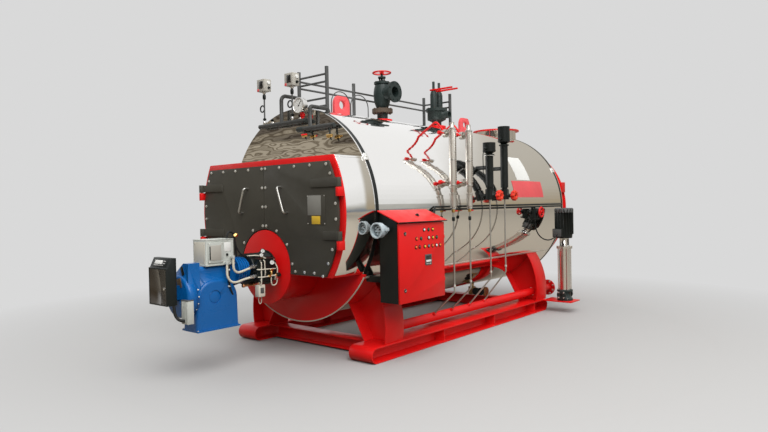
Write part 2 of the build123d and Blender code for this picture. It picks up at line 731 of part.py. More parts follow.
def rear_end():
    rear = SHELL_LENGTH + REAR_BOX_DEPTH
    flue_hole = rod((0, SHELL_LENGTH, AXIS_Z), (0, SHELL_LENGTH, REACH), FLUE_R + SEAT_GAP)
    casing = ring(REAR_BOX_R, REAR_BOX_R - REAR_BOX_WALL, (SHELL_LENGTH, rear)) - flue_hole
    cover = disc(REAR_BOX_R + REAR_COVER_LIP, (rear, rear + REAR_COVER))
    x = shell_x(REAR_HINGE_Z, REAR_BOX_R + REAR_COVER_LIP)
    hinge_zs = (REAR_HINGE_Z - REAR_HINGE_HEIGHT / 2, REAR_HINGE_Z + REAR_HINGE_HEIGHT / 2)
    lug = block((x - REAR_HINGE_R, x + REAR_HINGE_R), (rear - 3 * REAR_HINGE_R, rear), hinge_zs)
    lug -= disc(REAR_BOX_R - REAR_BOX_WALL / 2, (SHELL_LENGTH, rear))
    return {"rear_smokebox": casing + lug, "rear_cover": cover}


def flue_outlet():
    low = AXIS_Z + math.sqrt(REAR_BOX_R**2 - FLUE_R**2) - REAR_BOX_WALL
    tube = rod((0, SHELL_LENGTH, low), (0, SHELL_LENGTH, FLUE_TOP_Z), FLUE_R)
    flange_low = FLUE_TOP_Z - FLUE_FLANGE
    tube += rod((0, SHELL_LENGTH, flange_low), (0, SHELL_LENGTH, FLUE_TOP_Z), FLUE_FLANGE_R)
    tube -= rod((0, SHELL_LENGTH, low), (0, SHELL_LENGTH, FLUE_TOP_Z), FLUE_R - FLUE_WALL)
    start = (0, SHELL_LENGTH, flange_low)
    tube -= bolt_holes(FLUE_BOLT_COUNT, FLUE_BOLT_PCD, FLUE_BOLT_R, start, (0, 0, 1), FLUE_FLANGE)
    tube -= disc(SHELL_R - SHELL_WALL / 2, (0, SHELL_LENGTH))
    return {"flue_outlet": tube}


# Skid and saddles

def skid_rail(side):
    """Top and bottom plates rolled into one loop round a web, with ribs."""
    outer_x, inner_x = side * RAIL_OUTER_X, side * RAIL_INNER_X
    middle_z = RAIL_HEIGHT / 2

    def loop(height, xs):
        length = RAIL_REAR_Y - RAIL_FRONT_Y - RAIL_HEIGHT + height
        outline = Plane.YZ * Pos((RAIL_FRONT_Y + RAIL_REAR_Y) / 2, middle_z) * SlotOverall(length, height)
        return Pos(min(xs), 0, 0) * extrude(outline, abs(xs[1] - xs[0]), dir=(1, 0, 0))

    rail = loop(RAIL_HEIGHT, (inner_x, outer_x))
    rail -= loop(RAIL_HEIGHT - 2 * RAIL_PLATE, (inner_x, outer_x))
    web_x = (inner_x + outer_x) / 2
    rail += loop(RAIL_HEIGHT - RAIL_PLATE, (web_x - RAIL_WEB / 2, web_x + RAIL_WEB / 2))
    ribs = int((RAIL_REAR_Y - RAIL_HEIGHT - FIRST_RIB_Y) / RAIL_RIB_SPACING) + 1
    for i in range(ribs):
        y = FIRST_RIB_Y + i * RAIL_RIB_SPACING
        xs = sorted((inner_x, outer_x))
        inset = RAIL_WEB
        zs = (RAIL_PLATE / 2, RAIL_HEIGHT - RAIL_PLATE / 2)
        rail += block((xs[0] + inset, xs[1] - inset), (y - RAIL_RIB / 2, y + RAIL_RIB / 2), zs)
    return rail


def cross_beams():
    beams = []
    for y in (FRONT_SADDLE_Y, REAR_SADDLE_Y):
        ys = (y - CROSS_BEAM_WIDTH / 2, y + CROSS_BEAM_WIDTH / 2)
        top = RAIL_HEIGHT - RAIL_PLATE / 2
        beam = block((-RAIL_INNER_X, RAIL_INNER_X), ys, (top - CROSS_BEAM_HEIGHT, top))
        hollow_zs = (top - CROSS_BEAM_HEIGHT + RAIL_PLATE, top - RAIL_PLATE)
        for face_y in ys:
            depth = CROSS_BEAM_WIDTH / 2 - RAIL_WEB / 2
            pocket_ys = sorted((face_y, face_y + math.copysign(depth, y - face_y)))
            beam -= block((-RAIL_INNER_X, RAIL_INNER_X), pocket_ys, hollow_zs)
        beams.append(beam)
    return beams


def saddle_leg(side, y):
    """A web with a bowed outer flange and a straight inner flange, cut to the shell."""
    foot_z = RAIL_HEIGHT
    outer_foot = (RAIL_OUTER_X - SADDLE_PLATE, foot_z)
    outer_top = (shell_x(SADDLE_OUTER_TOP_Z), SADDLE_OUTER_TOP_Z)
    chord = ((outer_foot[0] + outer_top[0]) / 2, (outer_foot[1] + outer_top[1]) / 2)
    bow = (chord[0] + SADDLE_BULGE, chord[1] + SADDLE_BULGE / 4)
    inner_foot = (SADDLE_INNER_FOOT_X, foot_z)
    inner_top = (SADDLE_INNER_TOP_X, shell_z(SADDLE_INNER_TOP_X, -1) + SADDLE_PLATE)

    def plane_point(point):
        return (side * point[0], 0, point[1])

    bowed = ThreePointArc(*[plane_point(p) for p in (outer_foot, bow, outer_top)])
    top = Line(plane_point(outer_top), plane_point((0, AXIS_Z)))
    down = Line(plane_point((0, AXIS_Z)), plane_point(inner_top))
    inner = Line(plane_point(inner_top), plane_point(inner_foot))
    foot = Line(plane_point(inner_foot), plane_point(outer_foot))
    web_face = make_face([bowed, top, down, inner, foot])
    leg = extrude(web_face, SADDLE_PLATE / 2, dir=(0, 1, 0), both=True)
    outer_line = offset_band(bowed, side)
    leg += extrude(outer_line, SADDLE_WIDTH / 2, dir=(0, 1, 0), both=True)
    inner_line = offset_band(inner, side)
    leg += extrude(inner_line, SADDLE_WIDTH / 2, dir=(0, 1, 0), both=True)
    leg = Pos(0, y, 0) * leg
    leg -= disc(SHELL_R + SEAT_GAP, (-REACH, 2 * REACH))
    leg &= between_heights(foot_z, REACH)
    return leg


def offset_band(line, side):
    """The face swept by moving a line sideways by the plate's thickness."""
    shift = Pos(-side * SADDLE_PLATE, 0, 0)
    moved = shift * line
    ends_a = Line(line @ 0, moved @ 0)
    ends_b = Line(line @ 1, moved @ 1)
    return make_face([line, ends_b, moved, ends_a])


def skid():
    nodes = {f"skid_rail_{name}": skid_rail(side) for name, side in SIDES.items()}
    header_hole = disc(HEADER_R + HEADER_CLEARANCE, (0, 2 * REACH), HEADER_X, HEADER_Z)
    nodes["saddles_front"] = [saddle_leg(side, FRONT_SADDLE_Y) for side in SIDES.values()]
    nodes["saddles_rear"] = [saddle_leg(side, REAR_SADDLE_Y) - header_hole for side in SIDES.values()]
    nodes["cross_beams"] = cross_beams()
    return nodes


# Fittings on the crown

def valve_pad(x, y):
    """A round pad welded to the crown, level on top."""
    pad_low = shell_z(abs(x) + STEAM_PAD_R) - SHELL_WALL / 2
    pad = rod((x, y, pad_low), (x, y, STEAM_PAD_Z), STEAM_PAD_R)
    return pad - disc(SHELL_R + SEAT_GAP, (0, SHELL_LENGTH))


def steam_body():
    """An angle valve's casting: neck, flange pair, belly and bonnet flange, turned in one."""
    flange_top = STEAM_LOWER_FLANGE_Z + 2 * STEAM_FLANGE
    bonnet_low = STEAM_BONNET_Z - STEAM_FLANGE
    belly_z = STEAM_OUTLET_Z - STEAM_BODY_R / 4
    corners = [
        (STEAM_NECK_R, flange_top), (STEAM_FLANGE_R, flange_top), (STEAM_FLANGE_R, STEAM_LOWER_FLANGE_Z),
        (STEAM_NECK_R, STEAM_LOWER_FLANGE_Z), (STEAM_NECK_R, STEAM_PAD_Z), (0, STEAM_PAD_Z),
        (0, STEAM_BRIDGE_Z - STEAM_BRIDGE), (STEAM_GLAND_R / 2, STEAM_BRIDGE_Z - STEAM_BRIDGE),
        (STEAM_GLAND_R, STEAM_BONNET_Z), (STEAM_BONNET_R, STEAM_BONNET_Z), (STEAM_BONNET_R, bonnet_low),
        (STEAM_NOZZLE_R, bonnet_low),
    ]
    line = Polyline(*[(r, 0, z) for r, z in corners])
    belly = ThreePointArc(line @ 1, (STEAM_BODY_R, 0, belly_z), line @ 0)
    return Pos(0, STEAM_Y, 0) * revolve(make_face([line, belly]), Axis.Z)


def steam_valve():
    body = steam_body()
    for side in SIDES.values():
        foot = (side * STEAM_YOKE_X, STEAM_Y, STEAM_BONNET_Z)
        body += rod(foot, (side * STEAM_YOKE_X, STEAM_Y, STEAM_BRIDGE_Z), STEAM_YOKE_R)
    bridge_low = STEAM_BRIDGE_Z - STEAM_BRIDGE
    body += rod((0, STEAM_Y, bridge_low), (0, STEAM_Y, STEAM_BRIDGE_Z), STEAM_BRIDGE_R)
    stem_top = STEAM_WHEEL_Z + 2 * STEAM_WHEEL_RIM
    body += rod((0, STEAM_Y, STEAM_BONNET_Z), (0, STEAM_Y, stem_top), STEAM_STEM_R)
    flange_x = STEAM_OUTLET_X - STEAM_FLANGE
    root = (flange_x, STEAM_Y, STEAM_OUTLET_Z)
    face = (STEAM_OUTLET_X, STEAM_Y, STEAM_OUTLET_Z)
    body += rod((0, STEAM_Y, STEAM_OUTLET_Z), root, STEAM_NOZZLE_R)
    body -= rod((flange_x - STEAM_BORE_DEPTH, STEAM_Y, STEAM_OUTLET_Z), root, STEAM_BORE_R)
    flange = rod(root, face, STEAM_FLANGE_R) - rod(root, face, STEAM_BORE_R)
    flange -= bolt_holes(STEAM_BOLT_COUNT, STEAM_BOLT_PCD, STEAM_BOLT_R, root, (1, 0, 0), STEAM_FLANGE)
    centre = (0, STEAM_Y, STEAM_WHEEL_Z)
    wheel = handwheel(STEAM_WHEEL_R, STEAM_WHEEL_RIM, STEAM_HUB_R, STEAM_STEM_R, 4, centre, (0, 0, 1))
    return {
        "valve_pads": [valve_pad(0, STEAM_Y), valve_pad(SAFETY_X, SAFETY_Y)],
        "steam_valve": body,
        "steam_outlet_flange": flange,
        "steam_handwheel": wheel,
    }


def lifting_lugs():
    lugs = []
    for y in LUG_YS:
        low = SHELL_TOP_Z - SHELL_WALL / 2
        straight = LUG_HOLE_Z
        lug = block((-LUG_THICKNESS / 2, LUG_THICKNESS / 2), (y - LUG_LENGTH / 2, y + LUG_LENGTH / 2),
                    (low, straight))
        top = rod((-LUG_THICKNESS / 2, y, LUG_HOLE_Z), (LUG_THICKNESS / 2, y, LUG_HOLE_Z), LUG_LENGTH / 2)
        lug += top & between_heights(low, SHELL_TOP_Z + LUG_HEIGHT)
        lug -= rod((-LUG_THICKNESS, y, LUG_HOLE_Z), (LUG_THICKNESS, y, LUG_HOLE_Z), LUG_HOLE_R)
        lug -= disc(SHELL_R + SEAT_GAP, (0, SHELL_LENGTH))
        lugs.append(lug)
    return {"lifting_lugs": lugs}


def safety_valve():
    """Two spring columns on one chest, with a common outlet to the right and a lever on each."""
    x, y = SAFETY_X, SAFETY_Y
    flange_top = SAFETY_FLANGE_Z + SAFETY_FLANGE
    shoulder = SAFETY_CHEST_R - SAFETY_NECK_R
    outline = [
        (0, STEAM_PAD_Z), (SAFETY_NECK_R, STEAM_PAD_Z), (SAFETY_NECK_R, SAFETY_CHEST_Z - shoulder / 2),
        (SAFETY_CHEST_R, SAFETY_CHEST_Z), (SAFETY_CHEST_R, SAFETY_FLANGE_Z),
        (SAFETY_FLANGE_R, SAFETY_FLANGE_Z),
        (SAFETY_FLANGE_R, flange_top), (0, flange_top),
    ]
    body = turned(outline, (x, y, 0), (0, 0, 1))
    outlet_z = (SAFETY_CHEST_Z + SAFETY_FLANGE_Z) / 2
    outlet_x = x + SAFETY_OUTLET_LENGTH
    body += rod((x, y, outlet_z), (outlet_x, y, outlet_z), SAFETY_OUTLET_R)
    bore_floor = (outlet_x - SAFETY_OUTLET_R, y, outlet_z)
    body -= rod(bore_floor, (outlet_x, y, outlet_z), SAFETY_OUTLET_R - STEAM_STEM_R)
    levers = []
    for side in SIDES.values():
        column_y = y + side * SAFETY_SPACING / 2
        top_r = SAFETY_COLUMN_R - SAFETY_SPINDLE_R / 2
        column = [
            (0, flange_top), (SAFETY_COLUMN_R, flange_top),
            (SAFETY_COLUMN_R, SAFETY_COLUMN_Z - SAFETY_FLANGE),
            (top_r, SAFETY_COLUMN_Z), (0, SAFETY_COLUMN_Z),
        ]
        body += turned(column, (x, column_y, 0), (0, 0, 1))
        spindle = ((x, column_y, SAFETY_COLUMN_Z), (x, column_y, SAFETY_TOP_Z))
        body += rod(*spindle, SAFETY_SPINDLE_R)
        lever_ys = (column_y - SAFETY_LEVER_WIDTH / 2, column_y + SAFETY_LEVER_WIDTH / 2)
        lever_zs = (SAFETY_LEVER_Z, SAFETY_LEVER_Z + SAFETY_LEVER)
        lever = block((x - SAFETY_COLUMN_R, SAFETY_LEVER_END_X), lever_ys, lever_zs)
        arm_ys = (column_y - SAFETY_LEVER / 2, column_y + SAFETY_LEVER / 2)
        for cut_ys in ((lever_ys[0], arm_ys[0]), (arm_ys[1], lever_ys[1])):
            lever -= block((x + SAFETY_COLUMN_R, SAFETY_LEVER_END_X), cut_ys, lever_zs)
        levers.append(lever - rod(*spindle, SAFETY_SPINDLE_R + SEAT_GAP))
    return {"safety_valve": body, "safety_levers": levers}


def guard_rail():
    """Two post frames and a side run of rails, with two bent hoops inside them."""
    shell = disc(SHELL_R + SEAT_GAP, (0, SHELL_LENGTH))
    side_zs = [SHELL_TOP_Z + rise for rise in GUARD_SIDE_RAIL_RISES]

    def post(x, y):
        foot = shell_z(abs(x) + 2 * GUARD_POST_R)
        return rod((x, y, foot), (x, y, GUARD_TOP_Z), GUARD_POST_R) - shell

    def cross_frame(y, rungs):
        frame = post(-GUARD_X, y) + post(GUARD_X, y)
        for z in rungs:
            frame += rod((-GUARD_X, y, z), (GUARD_X, y, z), GUARD_RAIL_R)
        return frame

    side = post(-GUARD_X, GUARD_MIDDLE_Y)
    for z in side_zs:
        first = (-GUARD_X, GUARD_FRONT_Y + GUARD_POST_R + SEAT_GAP, z)
        last = (-GUARD_X, GUARD_REAR_Y - GUARD_POST_R - SEAT_GAP, z)
        side += rod(first, last, GUARD_RAIL_R)
    front = cross_frame(GUARD_FRONT_Y, [SHELL_TOP_Z + rise for rise in GUARD_FRONT_RUNG_RISES])
    rear = cross_frame(GUARD_REAR_Y, side_zs[:2])
    hoops = []
    foot_z = shell_z(abs(HOOP_X) + 2 * HOOP_R)
    for start, end in zip(HOOP_YS, HOOP_YS[1:]):
        ys = (start + HOOP_GAP / 2, end - HOOP_GAP / 2)
        points = [(HOOP_X, ys[0], foot_z), (HOOP_X, ys[0], HOOP_TOP_Z), (HOOP_X, ys[1], HOOP_TOP_Z)]
        hoops.append(pipe(points + [(HOOP_X, ys[1], foot_z)], HOOP_R, HOOP_BEND) - shell)
    return {"guard_rail": [front, side, rear] + hoops}


# Pressure instruments

def instruments():
    y = MANIFOLD_Y
    upper = rod((MANIFOLD_LEFT_X, y, MANIFOLD_Z), (MANIFOLD_RIGHT_X, y, MANIFOLD_Z), MANIFOLD_R)
    riser_points = [
        (RISER_X, y, MANIFOLD_Z), (RISER_X, y, RISER_TOP_Z),
        (RISER_X, RISER_REAR_Y, RISER_TOP_Z),
        (RISER_X, RISER_REAR_Y, shell_z(abs(RISER_X) + 2 * RISER_R)),
    ]
    upper += pipe(riser_points, RISER_R, 3 * RISER_R)
    for x in SWITCH_XS:
        upper += rod((x, y, MANIFOLD_Z), (x, y, SWITCH_Z), SWITCH_STEM_R)
    gauge_stem = ((GAUGE_X, y, MANIFOLD_Z), (GAUGE_X, y, GAUGE_Z - GAUGE_R / 2))
    upper += rod(*gauge_stem, GAUGE_STEM_R)
    lower_ends = [(x, y, LOWER_MANIFOLD_Z) for x in (LOWER_MANIFOLD_LEFT_X, LOWER_MANIFOLD_RIGHT_X)]
    lower = rod(*lower_ends, MANIFOLD_R)
    second_x = LOWER_MANIFOLD_LEFT_X + 4 * MANIFOLD_R
    second_z = RISER_TOP_Z - 2 * GAUGE_R
    lower_points = [
        (second_x, y, LOWER_MANIFOLD_Z), (second_x, y, second_z), (second_x, RISER_REAR_Y, second_z),
        (second_x, RISER_REAR_Y, shell_z(second_x + 2 * RISER_R)),
    ]
    lower += pipe(lower_points, RISER_R, 1.5 * RISER_R)
    shell = disc(SHELL_R + SEAT_GAP, (0, SHELL_LENGTH))
    switches = []
    for x in SWITCH_XS:
        xs = (x - SWITCH_WIDTH / 2, x + SWITCH_WIDTH / 2)
        ys = (y - SWITCH_DEPTH / 2, y + SWITCH_DEPTH / 2)
        switches.append(block(xs, ys, (SWITCH_Z, SWITCH_Z + SWITCH_HEIGHT)))
    gauge = disc(GAUGE_R, (y - GAUGE_DEPTH, y), GAUGE_X, GAUGE_Z)
    gauge -= rod(*gauge_stem, GAUGE_STEM_R + SEAT_GAP)
    return {
        "pressure_manifolds": [upper - shell, lower - shell],
        "pressure_switches": switches,
        "pressure_gauge": gauge,
    }


# Side fittings

def level_gauges():
    """Two gauge chambers, each with a reading strip, two cocks and its pipes to the shell."""
    shell = disc(SHELL_R + SEAT_GAP, (0, SHELL_LENGTH))
    outline = [
        (0, LEVEL_BOTTOM_Z), (LEVEL_VALVE_R, LEVEL_BOTTOM_Z), (LEVEL_VALVE_R, LEVEL_VALVE_Z),
        (LEVEL_LOWER_R, LEVEL_VALVE_Z + LEVEL_VALVE_R), (LEVEL_LOWER_R, LEVEL_STEP_Z),
        (LEVEL_TUBE_R, LEVEL_STEP_Z),
        (LEVEL_TUBE_R, LEVEL_CHAMBER_TOP_Z), (LEVEL_CAP_R, LEVEL_CHAMBER_TOP_Z + LEVEL_VALVE_R),
        (LEVEL_CAP_R, LEVEL_TOP_Z), (0, LEVEL_TOP_Z),
    ]
    cock_x = LEVEL_X - LEVEL_COCK_REACH
    gauges, pipes = [], []
    for y in LEVEL_YS:
        gauge = turned(outline, (LEVEL_X, y, 0), (0, 0, 1))
        strip_ys = (y - LEVEL_STRIP / 2, y + LEVEL_STRIP / 2)
        strip_zs = (LEVEL_LOWER_COCK_Z, LEVEL_UPPER_COCK_Z)
        gauge += block((LEVEL_X, LEVEL_X + LEVEL_TUBE_R + LEVEL_STRIP / 3), strip_ys, strip_zs)
        for z in (LEVEL_UPPER_COCK_Z, LEVEL_LOWER_COCK_Z):
            gauge += rod((LEVEL_X - LEVEL_ARM, y, z), (LEVEL_X, y, z), LEVEL_ARM_R)
            gauge += rod((cock_x - LEVEL_COCK / 2, y, z), (cock_x + LEVEL_COCK / 2, y, z), LEVEL_COCK_R)
        gauges.append(gauge)
        foot_z = shell_z(LEVEL_PIPE_FOOT_X) - SHELL_WALL / 2
        points = [
            (LEVEL_PIPE_FOOT_X - SHELL_WALL / 2, y, foot_z), (LEVEL_PIPE_TOP_X, y, LEVEL_PIPE_TOP_Z),
            (cock_x, y, LEVEL_UPPER_COCK_Z),
        ]
        reach = LEVEL_COCK / 2 + SEAT_GAP
        cock_ends = [(cock_x + offset, y, LEVEL_UPPER_COCK_Z) for offset in (-reach, reach)]
        bent = pipe(points, LEVEL_PIPE_R, LEVEL_PIPE_BEND) - shell
        bent -= rod(*cock_ends, LEVEL_COCK_R + SEAT_GAP)
        arm_root = (LEVEL_X - LEVEL_ARM - SEAT_GAP, y, LEVEL_UPPER_COCK_Z)
        pipes.append(bent - rod(arm_root, (LEVEL_X, y, LEVEL_UPPER_COCK_Z), LEVEL_ARM_R + SEAT_GAP))
        root_x = shell_x(LEVEL_LOWER_COCK_Z) - SHELL_WALL / 2
        root = (root_x, y, LEVEL_LOWER_COCK_Z)
        pipes.append(rod(root, (LEVEL_X - LEVEL_ARM, y, LEVEL_LOWER_COCK_Z), LEVEL_PIPE_R) - shell)
    return {"level_gauges": gauges, "level_gauge_pipes": pipes}


def level_probes():
    """Two probe chambers with capped tops, a side arm to the shell and a drain valve at the foot."""
    nodes = {}
    probes = []
    shell = disc(SHELL_R + SEAT_GAP, (0, SHELL_LENGTH))
    foot_z = PROBE_VALVE_Z - PROBE_FOOT_DROP
    body_top = foot_z + PROBE_BODY_HEIGHT
    for i, y in enumerate(PROBE_YS):
        top = PROBE_CAP_TOPS[i]
        cap_low = top - PROBE_CAP_HEIGHTS[i]
        collar_low = cap_low - PROBE_COLLAR
        groove_top = body_top + PROBE_TUBE_R / 2
        outline = [
            (0, foot_z), (PROBE_BODY_R, foot_z), (PROBE_BODY_R, body_top), (PROBE_NECK_R, body_top),
            (PROBE_NECK_R, groove_top), (PROBE_TUBE_R, groove_top),
            (PROBE_TUBE_R, collar_low), (PROBE_COLLAR_R, collar_low),
            (PROBE_COLLAR_R, collar_low + PROBE_COLLAR / 3),
            (PROBE_NECK_R, collar_low + PROBE_COLLAR / 2), (PROBE_CAP_RADII[i], cap_low),
            (PROBE_CAP_RADII[i], top), (0, top),
        ]
        probe = turned(outline, (PROBE_X, y, 0), (0, 0, 1))
        bonnet_x = SIDE_WHEEL_X - 2.5 * SIDE_WHEEL_RIM
        root = (shell_x(PROBE_VALVE_Z) - PROBE_ROOT, y, PROBE_VALVE_Z)
        probe += rod(root, (bonnet_x, y, PROBE_VALVE_Z), PROBE_BONNET_R)
        stem_end = SIDE_WHEEL_X + 2 * SIDE_WHEEL_RIM
        probe += rod((bonnet_x, y, PROBE_VALVE_Z), (stem_end, y, PROBE_VALVE_Z), SIDE_STEM_R)
        arm_z = PROBE_VALVE_Z + PROBE_ARM_RISE
        probe += rod((shell_x(arm_z) - PROBE_ROOT, y, arm_z), (PROBE_X, y, arm_z), PROBE_ARM_R)
        probes.append(probe - shell)
        centre = (SIDE_WHEEL_X, y, PROBE_VALVE_Z)
        wheel = handwheel(SIDE_WHEEL_R, SIDE_WHEEL_RIM, SIDE_HUB_R, SIDE_STEM_R, 4, centre, (1, 0, 0))
        nodes[f"probe_handwheel_{i + 1}"] = wheel
    nodes["level_probes"] = probes
    return nodes


def feed_valve():
    """A flanged valve on the shell's side, with its bonnet and wheel turned outwards."""
    y, z = FEED_VALVE_Y, FEED_VALVE_Z
    bonnet_x = FEED_WHEEL_X - 2.5 * SIDE_WHEEL_RIM
    body_x = SHELL_R + FEED_BODY_STAND_OFF
    body = rod((SHELL_R - PROBE_ROOT, y, z), (bonnet_x, y, z), FEED_PIPE_R)
    body += rod((bonnet_x, y, z), (FEED_WHEEL_X + 2 * SIDE_WHEEL_RIM, y, z), SIDE_STEM_R)
    body += rod((body_x, y, z - FEED_BODY_BOTTOM), (body_x, y, z + FEED_BODY_TOP), FEED_BODY_R)
    flange_low = z - FEED_BODY_BOTTOM
    body += rod((body_x, y, flange_low), (body_x, y, flange_low + FEED_FLANGE), FEED_FLANGE_R)
    bonnet_flange_x = body_x + FEED_BODY_R - FEED_FLANGE / 3
    body += rod((bonnet_flange_x, y, z), (bonnet_flange_x + FEED_FLANGE, y, z), FEED_BODY_R)
    body -= disc(SHELL_R + SEAT_GAP, (0, SHELL_LENGTH))
    centre = (FEED_WHEEL_X, y, z)
    wheel = handwheel(FEED_WHEEL_R, SIDE_WHEEL_RIM, SIDE_HUB_R, SIDE_STEM_R, 4, centre, (1, 0, 0))
    return {"feed_valve": body, "feed_handwheel": wheel}


def blowdown_valve():
    """A pipe down from the shell's underside, a valve, and a flanged outlet to the right."""
    x, y = BLOWDOWN_X, BLOWDOWN_Y
    body = rod((x, y, BLOWDOWN_Z), (x, y, shell_z(x, -1) + SHELL_WALL), BLOWDOWN_R)
    body += rod((x, y, BLOWDOWN_Z - 2 * BLOWDOWN_R), (x, y, BLOWDOWN_Z + 2 * BLOWDOWN_R), 2 * BLOWDOWN_R)
    body += rod((x, y, BLOWDOWN_Z), (BLOWDOWN_END_X, y, BLOWDOWN_Z), BLOWDOWN_R)
    collar = (BLOWDOWN_END_X - BLOWDOWN_R, y, BLOWDOWN_Z)
    body += rod(collar, (BLOWDOWN_END_X, y, BLOWDOWN_Z), 2.4 * BLOWDOWN_R)
    return {"blowdown_valve": body - disc(SHELL_R + SEAT_GAP, (0, SHELL_LENGTH))}


def drains():
    pipes = []
    tops = [(LEVEL_X, y, LEVEL_BOTTOM_Z - SEAT_GAP) for y in LEVEL_YS]
    tops += [(PROBE_X, y, PROBE_VALVE_Z - PROBE_FOOT_DROP - SEAT_GAP) for y in PROBE_YS]
    for top, knee_z, foot_y in zip(tops, DRAIN_KNEE_ZS, DRAIN_FOOT_YS):
        points = [top, (top[0], top[1], knee_z), (HEADER_X, foot_y, HEADER_Z)]
        header_seat = disc(HEADER_R + SEAT_GAP, (0, SHELL_LENGTH), HEADER_X, HEADER_Z)
        pipes.append(pipe(points, DRAIN_R, DRAIN_BEND) - header_seat)
    header = disc(HEADER_R, (HEADER_FRONT_Y, HEADER_REAR_Y), HEADER_X, HEADER_Z)
    flange_ys = (HEADER_REAR_Y - HEADER_FLANGE, HEADER_REAR_Y)
    header += disc(HEADER_FLANGE_R, flange_ys, HEADER_X, HEADER_Z)
    start = (HEADER_X, flange_ys[0], HEADER_Z)
    header -= bolt_holes(HEADER_BOLT_COUNT, HEADER_BOLT_PCD, HEADER_BOLT_R, start, (0, 1, 0), HEADER_FLANGE)
    return {"drain_pipes": pipes, "drain_header": header}


# Control cabinet

def cabinet():
    def outline(grow):
        back, front = CABINET_BACK_X - grow, CABINET_FRONT_X
        low = CABINET_BOTTOM_Z - grow
        return [(back, low), (front, low), (front, CABINET_EAVES_Z + grow), (back, CABINET_RIDGE_Z + grow)]

    ys = (CABINET_FRONT_Y, CABINET_REAR_Y)
    body = extruded(outline(0), ys)
    body -= extruded(outline(-CABINET_SHEET), (ys[0] + CABINET_SHEET, ys[1] - CABINET_SHEET))
    slope = (CABINET_RIDGE_Z - CABINET_EAVES_Z) / (CABINET_FRONT_X - CABINET_BACK_X)
    eaves_x = CABINET_FRONT_X + CABINET_DOOR_GAP + CABINET_DOOR + CABINET_ROOF_LIP
    eaves_z = CABINET_RIDGE_Z - slope * (eaves_x - CABINET_BACK_X)
    roof_points = [
        (CABINET_BACK_X, CABINET_RIDGE_Z), (eaves_x, eaves_z),
        (eaves_x, eaves_z + CABINET_ROOF), (CABINET_BACK_X, CABINET_RIDGE_Z + CABINET_ROOF),
    ]
    roof = extruded(roof_points, (ys[0] - CABINET_ROOF_LIP, ys[1] + CABINET_ROOF_LIP))
    door_x = (CABINET_FRONT_X + CABINET_DOOR_GAP, CABINET_FRONT_X + CABINET_DOOR_GAP + CABINET_DOOR)
    door_top = eaves_z - CABINET_DOOR_MARGIN
    door = block(door_x, ys, (CABINET_BOTTOM_Z, door_top))
    hinge_x, hinge_y = CABINET_FRONT_X + CABINET_DOOR_GAP / 2, CABINET_REAR_Y + CABINET_HINGE_OFFSET
    for z in CABINET_HINGE_ZS:
        low, high = z - CABINET_KNUCKLE, z + CABINET_KNUCKLE
        axis = [(hinge_x, hinge_y, height) for height in (low, z, z + SEAT_GAP, high)]
        tab_ys = (CABINET_REAR_Y - SEAT_GAP, hinge_y)
        body += rod(axis[0], axis[1], CABINET_HINGE_R)
        body += block((CABINET_FRONT_X - CABINET_KNUCKLE, hinge_x), (CABINET_REAR_Y, hinge_y), (low, z))
        body += rod(axis[0], axis[3], CABINET_PIN_R)
        door += rod(axis[2], axis[3], CABINET_HINGE_R)
        door += block((hinge_x, door_x[1]), tab_ys, (z + SEAT_GAP, high))
        door -= rod(axis[2], axis[3], CABINET_PIN_R + WHEEL_CLEARANCE)
    shell = disc(SHELL_R + SEAT_GAP, (0, SHELL_LENGTH))
    for z in CABINET_BRACKET_ZS:
        for y in (ys[0] + 2 * CABINET_BRACKET_HEIGHT, ys[1] - 2 * CABINET_BRACKET_HEIGHT):
            arm_ys = (y - CABINET_BRACKET_HEIGHT / 2, y + CABINET_BRACKET_HEIGHT / 2)
            arm = block((shell_x(z - CABINET_BRACKET_HEIGHT) - SHELL_WALL, CABINET_BACK_X), arm_ys,
                        (z, z + CABINET_BRACKET_HEIGHT))
            body += arm - shell
    cup_low = SOCKET_LENGTH - SOCKET_CUP
    socket_outline = [
        (0, 0), (SOCKET_ROOT_R, 0), (SOCKET_ROOT_R, cup_low - SOCKET_TAPER), (SOCKET_R, cup_low),
        (SOCKET_R, SOCKET_LENGTH), (SOCKET_R - SOCKET_WALL, SOCKET_LENGTH),
        (SOCKET_R - SOCKET_WALL, cup_low), (0, cup_low),
    ]
    socket = turned(socket_outline, (SOCKET_X, ys[0], SOCKET_Z), (0, -1, 0))
    return {
        "cabinet": body + roof,
        "cabinet_door": door,
        "cabinet_socket": socket,
    }


def conduits():
    x = SHELL_R + CONDUIT_R + SEAT_GAP
    runs = []
    for i, z in enumerate(CONDUIT_ZS):
        entry = (CONDUIT_ENTRY_X + i * 4 * CONDUIT_R, CABINET_REAR_Y, CONDUIT_ENTRY_Z)
        points = [
            entry, (entry[0], CABINET_REAR_Y + CONDUIT_SWEEP / 2, CONDUIT_ENTRY_Z),
            (x, CABINET_REAR_Y + 2 * CONDUIT_SWEEP, z), (x, CONDUIT_REAR_Y, z),
        ]
        runs.append(pipe(points, CONDUIT_R, 4 * CONDUIT_R))
    gland_x, gland_y, gland_z = PUMP_CABLE_ROUTE[0]
    runs[0] += rod((gland_x, gland_y, gland_z), (gland_x, gland_y, CONDUIT_ZS[0]), 1.3 * CONDUIT_R)
    return {"conduits": runs}


# Feed pump

